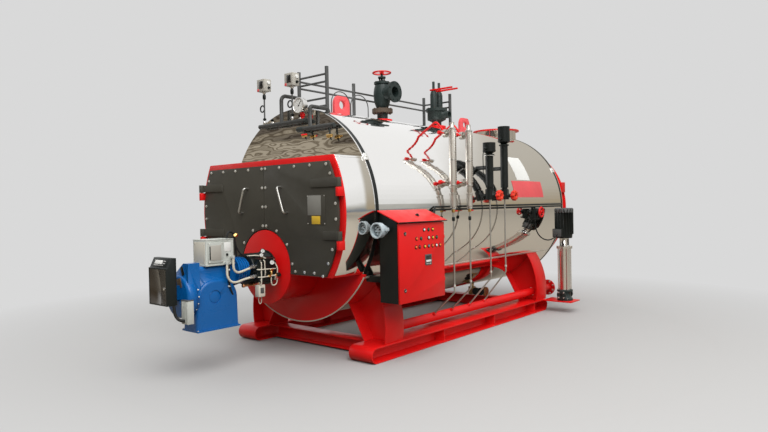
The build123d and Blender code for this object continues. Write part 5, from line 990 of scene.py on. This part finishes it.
bm = bmesh.new()
# The slot on the snail shell: a black block, painted shade of the opening.
slab(bm, (0.036, 0.074, 0.006), along(spot(0.066, -1.3790, 0.962), FRONT, 0.35), 0)
slab(bm, (0.066, 0.082, 0.003), along(spot(0.046, -1.4010, 0.858), FRONT, 0.25), 1, 0.0008)
cover = [(0, 0.0075), (0.030, 0.0065), (0.050, 0.0035), (0.056, -0.002), (0, -0.002)]
for side in (-1, 1):
    lathe(bm, cover, along(spot(side * 0.1010, -1.085, 0.706), (side, 0, 0)), 2, 32)
foot_bolts = [spot(right, back, 0.428) for right in (0.1165, -0.1165) for back in (-1.272, -0.838)]
bolts(bm, foot_bolts, UP, 0.0065, 3)
shell = spot(0, -1.2935, 0.738)
for place in ring_places(shell, REAR, 0.176, SHELL_BOLTS):
    bolts(bm, [place], (place - shell).normalized(), 0.005, 3)
finish_piece(bm, "fan_fittings", ["black", "tag_brown", "blue", "zinc"], "boiler")
print("shell bolts", SHELL_BOLTS)

# %% Burner boxes
BOX_FINISHES = ["box_grey", "box_beige", "zinc", "black", "white", "pipe_grey", "switch_grey"]
RIB = (0.010, 0.190, 0.006)

bm = bmesh.new()
slab(bm, (0.172, 0.196, 0.004), along(spot(0.009, -1.1705, 1.100), FRONT), 1)
bolts(bm, [spot(right, -1.1725, up) for up in (1.018, 1.182) for right in (-0.066, 0.084)], FRONT, 0.004, 2)
slab(bm, (0.112, 0.134, 0.005), along(spot(0.1185, -1.075, 1.100), RIGHT), 6)
bolts(bm, [spot(0.118, back, up) for up in (1.020, 1.180) for back in (-1.140, -1.010)], RIGHT, 0.005, 2)
slab(bm, (0.010, 0.120, 0.006), along(spot(0.1190, -1.135, 1.100), RIGHT), 3)
slab(bm, (0.070, 0.080, 0.003), along(spot(0.1085, -0.944, 1.146), RIGHT), 4, 0.0006)
button = [(0, 0.014), (0.008, 0.013), (0.012, 0.006), (0.012, -0.001), (0, -0.001)]
lathe(bm, button, along(spot(0.108, -0.951, 1.076), RIGHT), 3, 16)
slab(bm, (0.180, 0.006, 0.004), along(spot(0.1085, -1.025, 1.203), RIGHT), 0)
for step in range(4):
    slab(bm, RIB, along(spot(0.128 + 0.022 * step, -1.4250, 0.620), FRONT), 0)
for step in range(2):
    slab(bm, RIB, along(spot(0.2060, -1.412 + 0.024 * step, 0.620), RIGHT), 0)
slab(bm, (0.100, 0.064, 0.008), along(spot(0.1585, -1.396, 0.721)), 5)
slab(bm, (0.205, 0.292, 0.006), along(spot(0.009, -1.025, 1.216)), 0)
finish_piece(bm, "box_fittings", BOX_FINISHES, "boiler")
print("box covers and ribs")

# %% Wires on the burner
# Radius and route of each wire.
WIRES = (
    (0.009, (
        (0.062, -0.918, 1.205), (0.062, -0.916, 1.250), (0.060, -0.890, 1.282), (0.056, -0.846, 1.270),
        (0.050, -0.822, 1.220), (0.046, -0.810, 1.140), (0.040, -0.800, 1.040),
    )),
    (0.007, (
        (0.082, -0.900, 1.205), (0.084, -0.880, 1.240), (0.084, -0.850, 1.220), (0.080, -0.832, 1.150),
        (0.072, -0.790, 1.080), (0.060, -0.740, 1.045), (0.052, -0.690, 1.046),
    )),
    (0.009, (
        (0.100, -0.925, 1.000), (0.116, -0.938, 0.960), (0.120, -0.944, 0.900), (0.120, -0.944, 0.830),
        (0.120, -0.930, 0.760), (0.112, -0.905, 0.715), (0.100, -0.890, 0.700),
    )),
)

bm = bmesh.new()
for radius, route in WIRES:
    tube(bm, route, radius)
fitting = spindle(0.012, 0.019, 0.013, 0.006, 0.030, 0.040)
lathe(bm, fitting, along(spot(0.054, -0.833, 1.230), (0.2, 0.6, 0.5)), 1, 6)
tie = hoop(0.0085, 0.0120, 0.002, 0.014)
for up in (0.780, 0.930):
    lathe(bm, tie, along(spot(0.1195, -0.942, up)), 2, 14, closed=True)
finish_piece(bm, "burner_wires", ["rubber", "brass", "white"], "boiler")
print("burner wires", len(WIRES))

# %% [markdown]
# Oil and gas reach the head through couplings, thin pale pipes with brass unions, small gauges and a
# magnet valve, all on the black block at its side. A pipe is a curve with a round bevel, made a mesh
# at once: bending a cylinder would pinch it, and a curve keeps its section round the bend.

# %% Fuel fittings on the head
COUPLING = [
    (0.0112, 0), (0.0155, 0.001), (0.0165, 0.010), (0.0165, 0.040), (0.0205, 0.042), (0.0205, 0.058),
    (0.0160, 0.060), (0.0160, 0.076), (0.0112, 0.078),
]
FUEL_PIPES = (
    (
        (0.205, -0.655, 0.985), (0.226, -0.655, 0.990), (0.226, -0.655, 0.950), (0.226, -0.658, 0.820),
        (0.226, -0.660, 0.770), (0.205, -0.660, 0.775),
    ), (
        (0.205, -0.620, 1.000), (0.230, -0.620, 1.005), (0.230, -0.620, 0.960), (0.230, -0.610, 0.860),
        (0.205, -0.608, 0.850),
    ), (
        (0.205, -0.690, 0.918), (0.232, -0.680, 0.918), (0.232, -0.600, 0.916), (0.232, -0.480, 0.912),
        (0.200, -0.470, 0.912),
    ), (
        (0.205, -0.680, 0.845), (0.236, -0.660, 0.845), (0.236, -0.560, 0.848), (0.236, -0.470, 0.852),
        (0.200, -0.460, 0.852),
    ), (
        (0.205, -0.545, 0.900), (0.228, -0.545, 0.890), (0.228, -0.545, 0.820), (0.228, -0.542, 0.765),
        (0.228, -0.510, 0.752), (0.228, -0.474, 0.770), (0.228, -0.468, 0.860), (0.226, -0.464, 0.940),
        (0.205, -0.500, 0.985),
    ),
    ((0.060, -0.690, 1.040), (0.110, -0.640, 1.046), (0.170, -0.600, 1.035), (0.200, -0.570, 1.005)),
)
GAUGE_STEMS = (
    ((0.150, -0.578, 0.995), (0.153, -0.580, 1.040), (0.155, -0.582, 1.080)),
    ((0.185, -0.615, 0.995), (0.187, -0.620, 1.020), (0.188, -0.622, 1.050)),
    ((0.205, -0.530, 0.975), (0.230, -0.532, 0.975)),
)
# Place and radius of each small gauge.
SMALL_GAUGES = (
    (0.160, -0.585, 1.085, 0.022), (0.195, -0.628, 1.052, 0.021), (0.236, -0.536, 0.975, 0.024),
)
FUEL_UNIONS = ((-0.560, 0.905, REAR), (-0.500, 0.850, REAR), (-0.585, 0.848, REAR), (-0.545, 0.855, UP))
MAGNET_LOOP = (
    (0.176, -0.655, 0.662), (0.176, -0.660, 0.620), (0.176, -0.645, 0.585), (0.176, -0.622, 0.600),
    (0.178, -0.622, 0.664),
)
COPPER_LINE = [
    (0, 0), (0.016, 0), (0.018, 0.004), (0.018, 0.022), (0.013, 0.026), (0.013, 0.120), (0.018, 0.124),
    (0.018, 0.140), (0, 0.140),
]
FUEL_FINISHES = ["bright", "pipe_cream", "brass", "black", "white", "copper", "box_beige", "pipe_grey"]


def small_gauge(bm, place, size):
    face = along(place, (0.80, -0.60, 0))
    case = [
        (0, -0.012), (size, -0.012), (size, 0.004), (0.88 * size, 0.006), (0.86 * size, 0.002), (0, 0.002),
    ]
    lathe(bm, case, face, 3, 24)
    lathe(bm, [(0, 0.0035), (0.85 * size, 0.0030), (0.85 * size, 0.001), (0, 0.001)], face, 4, 24)
    hand = face @ Matrix.Rotation(0.9, 4, "Z") @ Matrix.Translation((0.2 * size, 0, 0.0045))
    slab(bm, (0.9 * size, 0.002, 0.001), hand, 3, 0.0002)


bm = bmesh.new()
for right, up in ((0.1725, 0.9435), (0.1750, 0.8525)):
    lathe(bm, COUPLING, along(spot(right, -0.752, up), (0, 1, 0.06)), 0, 14, closed=True)
for route in FUEL_PIPES:
    tube(bm, route, 0.0062, 1)
union = spindle(0.009, 0.012, 0.009, 0.006, 0.030, 0.036)
for back, up, axis in FUEL_UNIONS:
    lathe(bm, union, along(spot(0.232, back, up), axis), 2, 6)
for right, back, up, size in SMALL_GAUGES:
    small_gauge(bm, spot(right, back, up), size)
for route in GAUGE_STEMS:
    tube(bm, route, 0.007, 2)
cap = [(0, 0.034), (0.016, 0.034), (0.021, 0.026), (0.021, 0.006), (0.012, 0), (0, 0)]
lathe(bm, cap, along(spot(0.222, -0.462, 0.852), RIGHT), 3, 18)
plug = [(0, 0.030), (0.013, 0.030), (0.017, 0.022), (0.017, 0.004), (0, 0)]
lathe(bm, plug, along(spot(0.226, -0.500, 0.826), RIGHT), 0, 18)
lathe(bm, COPPER_LINE, along(spot(0.085, -0.770, 0.768), REAR), 5, 18)
slab(bm, (0.062, 0.074, 0.112), Matrix.Translation(spot(0.180, -0.640, 0.714)), 6, 0.006)
lathe(bm, [(0, 0), (0.020, 0), (0.020, 0.036), (0, 0.036)], along(spot(0.180, -0.640, 0.768)), 0, 6)
slab(bm, (0.040, 0.052, 0.004), along(spot(0.2115, -0.640, 0.718), RIGHT), 7)
tube(bm, MAGNET_LOOP, 0.004, 1)
bolts(bm, [spot(0.215, back, up) for back in (-0.660, -0.495) for up in (0.815, 1.000)], RIGHT, 0.007)
finish_piece(bm, "fuel_fittings", FUEL_FINISHES, "boiler")
print("fuel pipes", len(FUEL_PIPES))

# %% [markdown]
# The feed pump stands on its plate on four bolts. Its ports are bolted flanges, the terminal box has a
# lid, and the fan cover a ring of slots. A slot is a thin black block on the cover, the painted shade of
# a hole: from here it looks the same as a hole and leaves the cover closed.

# %% Pump fittings
PUMP_RIGHT, PUMP_BACK = 1.280, 3.690
PUMP_SLOTS = 16

bm = bmesh.new()
for up, radius in ((0.181, 0.092), (0.894, 0.088)):
    circle = ring_places(spot(PUMP_RIGHT, PUMP_BACK, up), UP, radius, 4, HALF_OF_FOUR)
    bolts(bm, circle, UP, 0.009)
port = [(0, 0.001), (0.030, 0.001), (0.036, -0.001), (0, -0.001)]
for side in (-1, 1):
    facing = (0, side, 0)
    face = spot(PUMP_RIGHT, PUMP_BACK + side * 0.122, 0.235)
    bolts(bm, ring_places(face, facing, 0.050, 4, HALF_OF_FOUR), facing, 0.007)
    lathe(bm, port, along(face - Vector((0, side * 0.004, 0)), facing), 1, 24)
slab(bm, (0.118, 0.098, 0.008), along(spot(1.255, 3.522, 1.080), FRONT), 2)
# Each slot is a black block: painted shade where an open hole would be dark.
for step in range(PUMP_SLOTS):
    angle = 2 * math.pi * step / PUMP_SLOTS
    way = Vector((math.cos(angle), math.sin(angle), 0))
    slab(bm, (0.010, 0.034, 0.002), along(spot(PUMP_RIGHT, PUMP_BACK, 1.384) + way * 0.1238, way), 1, 0.0005)
grille = [(0, 0.003), (0.050, 0.003), (0.058, 0), (0.058, -0.002), (0, -0.002)]
lathe(bm, grille, along(spot(PUMP_RIGHT, PUMP_BACK, 1.412)), 1, 32)
finish_piece(bm, "pump_fittings", ["zinc", "black", "pipe_grey"], "boiler")
print("pump slots", PUMP_SLOTS)

# %% [markdown]
# Below the drum, drain pipes enter the header through welded sockets, the header ends in a bolted
# flange, and the blow-down line has brass bonnets. A socket stands on the line from the header to
# the pipe's knee, so its axis is worked out from those two places instead of being set by eye.

# %% Drain sockets, header bolts and blow-down bonnets
HEADER_RIGHT, HEADER_UP = 0.868, 0.262
BLOWDOWN_BACK, BLOWDOWN_UP = 2.760, 0.330
# Each pipe's place and knee, and how far back its foot meets the header.
DRAINS = (
    (1.150, 1.185, 0.552, 1.130), (1.150, 1.508, 0.566, 1.474), (1.128, 1.985, 0.624, 1.835),
    (1.128, 2.335, 0.664, 2.178),
)

bm = bmesh.new()
socket = [(0.0092, 0), (0.019, 0), (0.019, 0.020), (0.014, 0.030), (0.0092, 0.030)]
union = hoop(0.0092, 0.014, 0.002, 0.024)
for right, back, knee, foot in DRAINS:
    base = spot(HEADER_RIGHT, foot, HEADER_UP)
    way = (spot(right, back, knee) - base).normalized()
    lathe(bm, socket, along(base + way * 0.046, way), 0, 16, closed=True)
    lathe(bm, union, along(spot(right, back, knee + 0.060)), 1, 12, closed=True)
circle = ring_places(spot(HEADER_RIGHT, 4.020, HEADER_UP), REAR, 0.090, 8, HALF_OF_EIGHT)
bolts(bm, circle, FRONT, 0.012, 1)
end_cap = [(0, 0.012), (0.030, 0.010), (0.046, 0.004), (0.050, -0.002), (0, -0.002)]
lathe(bm, end_cap, along(spot(HEADER_RIGHT, 0.479, HEADER_UP), FRONT), 0, 32)
finish_piece(bm, "drain_sockets", ["red", "zinc"], "boiler")

bm = bmesh.new()
bonnet = [(0.0255, 0), (0.034, 0.002), (0.040, 0.012), (0.040, 0.030), (0.034, 0.040), (0.0255, 0.042)]
wheel = [
    (0, 0), (0.010, 0), (0.010, 0.050), (0.044, 0.054), (0.050, 0.060), (0.044, 0.068), (0.010, 0.066),
    (0, 0.066),
]
for right in (0.455, 0.530):
    lathe(bm, bonnet, along(spot(right, BLOWDOWN_BACK, BLOWDOWN_UP), RIGHT), 0, 24, closed=True)
    lathe(bm, wheel, along(spot(right + 0.020, BLOWDOWN_BACK - 0.025, BLOWDOWN_UP), (0.2, -1, 0.1)), 1, 24)
circle = ring_places(spot(0.600, BLOWDOWN_BACK, BLOWDOWN_UP), RIGHT, 0.048, 4, HALF_OF_FOUR)
bolts(bm, circle, RIGHT, 0.008)
finish_piece(bm, "blowdown_fittings", ["brass", "black"], "boiler")
print("drain sockets", len(DRAINS))

# %% [markdown]
# Two places are seen only when the boiler is opened or walked round: the tube ends behind the doors,
# which are rings rolled into the front plate, each closed by a flat disc of soot black that also paints
# the shade down the tube, and the bolts in the rear cover's groove. The lower front plate has a pale
# bare rim, a short bar spun along the drum's circle.

# %% Tube ends, rear bolts and the front plate's bare rim
TUBE_FACE = 0.010
TUBE_PITCH, TUBE_ROW_PITCH = 0.098, 0.088
TUBE_LOW, TUBE_HIGH = 0.905, 1.860
TUBE_FIELD_R, TUBE_EDGE, FURNACE_CLEAR = 0.960, 0.075, 0.430
REAR_BOLTS, REAR_GROOVE_R, REAR_GROOVE_DEEP = 32, 0.9085, 0.013
RIM_START, RIM_TURN = math.radians(33), math.radians(114)


def tube_rows():
    places = []
    for row in range(11):
        up = TUBE_LOW + TUBE_ROW_PITCH * row
        reach = math.sqrt(TUBE_FIELD_R ** 2 - (up - DRUM_Z) ** 2) - TUBE_EDGE
        shift = TUBE_PITCH / 2 if row % 2 else 0.0
        for column in range(-10, 11):
            right = column * TUBE_PITCH + shift
            clear = math.hypot(right, up - FURNACE_HEIGHT) > FURNACE_CLEAR
            if abs(right) < reach and clear and up < TUBE_HIGH:
                places.append(spot(right, TUBE_FACE, up))
    return places


bm = bmesh.new()
tube_places = tube_rows()
rolled = [(0.026, 0.001), (0.026, 0.009), (0.029, 0.009), (0.031, 0.0), (0.031, -0.001), (0.026, -0.001)]
bore = [(0, 0.0015), (0.0262, 0.0015), (0.0262, 0.0), (0, 0.0)]
for place in tube_places:
    stand = along(place, FRONT)
    lathe(bm, rolled, stand, 0, 14, closed=True)
    # The flat bore disc is soot and the painted shade of the tube's dark inside.
    lathe(bm, bore, stand, 1, 14)
finish_piece(bm, "tube_ends", ["steel", "soot_and_shade"], "boiler")
print("tube ends", len(tube_places))

bm = bmesh.new()
rear_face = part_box("rear_cover")[1].y
rear_groove = Vector((DRUM_X, rear_face - REAR_GROOVE_DEEP, DRUM_Z))
bolts(bm, ring_places(rear_groove, REAR, REAR_GROOVE_R, REAR_BOLTS), REAR, 0.0135)
plate_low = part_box("front_plate")[0]
rim_r = DRUM_Z - plate_low.z
shape = bmesh.new()
section = [(rim_r - 0.009, -0.002), (rim_r + 0.002, -0.002), (rim_r + 0.002, 0.006), (rim_r - 0.009, 0.006)]
verts = [shape.verts.new((radius, plate_low.y + back, 0)) for radius, back in section]
edges = [shape.edges.new(pair) for pair in zip(verts, verts[1:] + verts[:1])]
bmesh.ops.rotate(shape, cent=(0, 0, 0), matrix=Matrix.Rotation(RIM_START, 3, "Y"), verts=verts)
bmesh.ops.spin(shape, geom=verts + edges, cent=(0, 0, 0), axis=REAR, angle=RIM_TURN, steps=64)
bmesh.ops.holes_fill(shape, edges=[edge for edge in shape.edges if edge.is_boundary])
bmesh.ops.recalc_face_normals(shape, faces=shape.faces)
merge(bm, shape, Matrix.Translation(Vector((DRUM_X, 0, DRUM_Z))), 1)
finish_piece(bm, "rear_bolts_and_rim", ["zinc", "pipe_cream"], "boiler")
print("rear bolts", REAR_BOLTS)

# %% [markdown]
# The studio is a pale floor that fades into an even backdrop. A mirror shows what stands round it, so
# the jacket is given something to show: a sandy floor, a blue-grey horizon under a bright sky at the
# side, a darker yard in front and a wall behind. One large soft lamp stands above the camera's right
# shoulder.

# %% Floor, sky and lamp
BACKDROP = (0.694, 0.694, 0.694)
FLOOR_SEEN = (0.43, 0.427, 0.420)
FLOOR_MIRRORED = (0.36, 0.32, 0.257)
FLOOR_FELT = (0.10, 0.085, 0.07)
FLOOR_R = 40.0
FADE_START, FADE_END = 3.4, 6.5


def mixed(tree, factor, first, second, blend="MIX"):
    made = tree.nodes.new("ShaderNodeMix")
    made.data_type = "RGBA"
    made.blend_type = blend
    tree.links.new(factor, made.inputs["Factor"])
    for socket, colour in (("A", first), ("B", second)):
        if isinstance(colour, tuple):
            made.inputs[socket].default_value = (*colour, 1)
        else:
            tree.links.new(colour, made.inputs[socket])
    return made.outputs["Result"]


def floor_finish():
    """Pale where the camera looks, sandy where the mirror looks, fading into the backdrop."""
    made = surface("studio_floor", FLOOR_SEEN, 0.9)
    tree = made.node_tree
    nodes, links = tree.nodes, tree.links
    place = nodes.new("ShaderNodeTexCoord")
    distance = nodes.new("ShaderNodeVectorMath")
    distance.operation = "LENGTH"
    path = nodes.new("ShaderNodeLightPath")
    tone = mixed(tree, path.outputs["Is Diffuse Ray"], FLOOR_MIRRORED, FLOOR_FELT)
    tone = mixed(tree, path.outputs["Is Camera Ray"], tone, FLOOR_SEEN)
    share = nodes.new("ShaderNodeMath")
    share.operation = "MULTIPLY"
    glow = nodes.new("ShaderNodeEmission")
    glow.inputs["Color"].default_value = (*BACKDROP, 1)
    mix = nodes.new("ShaderNodeMixShader")
    links.new(tone, nodes[SHADER].inputs["Base Color"])
    links.new(place.outputs["Object"], distance.inputs[0])
    links.new(rescale(tree, distance.outputs["Value"], FADE_START, FADE_END), share.inputs[0])
    links.new(path.outputs["Is Camera Ray"], share.inputs[1])
    links.new(share.outputs["Value"], mix.inputs["Fac"])
    links.new(nodes[SHADER].outputs["BSDF"], mix.inputs[1])
    links.new(glow.outputs["Emission"], mix.inputs[2])
    links.new(mix.outputs["Shader"], nodes["Material Output"].inputs["Surface"])
    return made


def studio_floor():
    bm = bmesh.new()
    bmesh.ops.create_circle(bm, cap_ends=True, segments=64, radius=FLOOR_R)
    mesh = bpy.data.meshes.new("studio_floor")
    bm.to_mesh(mesh)
    bm.free()
    mesh.materials.append(floor_finish())
    made = bpy.data.objects.new("studio_floor", mesh)
    bpy.context.scene.collection.objects.link(made)


# Brightness over height, from straight down at 0 to straight up at 1.
OPEN_SKY = [
    (0.0, (0.42, 0.37, 0.30)), (0.499, (0.42, 0.37, 0.30)), (0.502, (0.16, 0.19, 0.23)),
    (0.512, (0.24, 0.26, 0.28)), (0.528, (0.46, 0.45, 0.41)), (0.56, (0.85, 0.85, 0.84)),
    (0.68, (1.0, 1.0, 1.0)),
]
YARD = [
    (0.0, (0.40, 0.35, 0.28)), (0.546, (0.44, 0.39, 0.31)), (0.556, (0.30, 0.26, 0.20)),
    (0.572, (0.13, 0.11, 0.09)), (0.66, (0.16, 0.14, 0.12)), (0.74, (0.55, 0.55, 0.55)),
    (0.85, (0.85, 0.86, 0.88)),
]
YARD_STREAKS = [(0.22, (0.46, 0.43, 0.40)), (0.52, (1.0, 1.0, 1.0))]
YARD_LINES = 13.0
WALL = [
    (0.0, (0.42, 0.37, 0.30)), (0.499, (0.42, 0.37, 0.30)), (0.502, (0.16, 0.19, 0.23)),
    (0.515, (0.40, 0.33, 0.22)), (0.54, (0.42, 0.36, 0.27)), (0.62, (0.50, 0.46, 0.39)),
    (0.80, (0.56, 0.53, 0.47)), (0.92, (0.90, 0.90, 0.89)),
]


def sky():
    """An open sky beside the boiler, a darker yard with lines in front and a wall behind."""
    world = bpy.data.worlds.new("studio")
    bpy.context.scene.world = world
    world.use_nodes = True
    tree = world.node_tree
    nodes, links = tree.nodes, tree.links
    place = nodes.new("ShaderNodeTexCoord")
    parts = nodes.new("ShaderNodeSeparateXYZ")
    links.new(place.outputs["Generated"], parts.inputs["Vector"])
    height = rescale(tree, parts.outputs["Z"], -1, 1)
    front = rescale(tree, parts.outputs["Y"], -0.30, -0.60, smooth=True)
    rear = rescale(tree, parts.outputs["Y"], 0.80, 0.87, smooth=True)
    low = rescale(tree, parts.outputs["Z"], 0.30, 0.16)
    lines = nodes.new("ShaderNodeTexWave")
    lines.bands_direction = "Z"
    lines.inputs["Scale"].default_value = YARD_LINES
    lines.inputs["Distortion"].default_value = 1.5
    lines.inputs["Detail Scale"].default_value = 2.0
    links.new(place.outputs["Generated"], lines.inputs["Vector"])
    streaks = ramp(tree, lines.outputs["Fac"], YARD_STREAKS)
    yard = mixed(tree, low, ramp(tree, height, YARD), streaks, "MULTIPLY")
    around = mixed(tree, front, ramp(tree, height, OPEN_SKY), yard)
    around = mixed(tree, rear, around, ramp(tree, height, WALL))
    path = nodes.new("ShaderNodeLightPath")
    seen = mixed(tree, path.outputs["Is Camera Ray"], around, BACKDROP)
    links.new(seen, nodes["Background"].inputs["Color"])
    nodes["Background"].inputs["Strength"].default_value = 1.0


def lamp(name, place, target, size, power):
    light = bpy.data.lights.new(name, "AREA")
    light.shape = "DISK"
    light.size = size
    light.energy = power
    made = bpy.data.objects.new(name, light)
    bpy.context.scene.collection.objects.link(made)
    made.location = spot(*place)
    made.rotation_euler = (spot(*target) - spot(*place)).to_track_quat("-Z", "Y").to_euler()


studio_floor()
sky()
lamp("key_lamp", (8.0, -4.5, 11.0), (0, 1.0, 1.2), 13.0, 1750.0)
bpy.context.scene.view_settings.view_transform = "Standard"
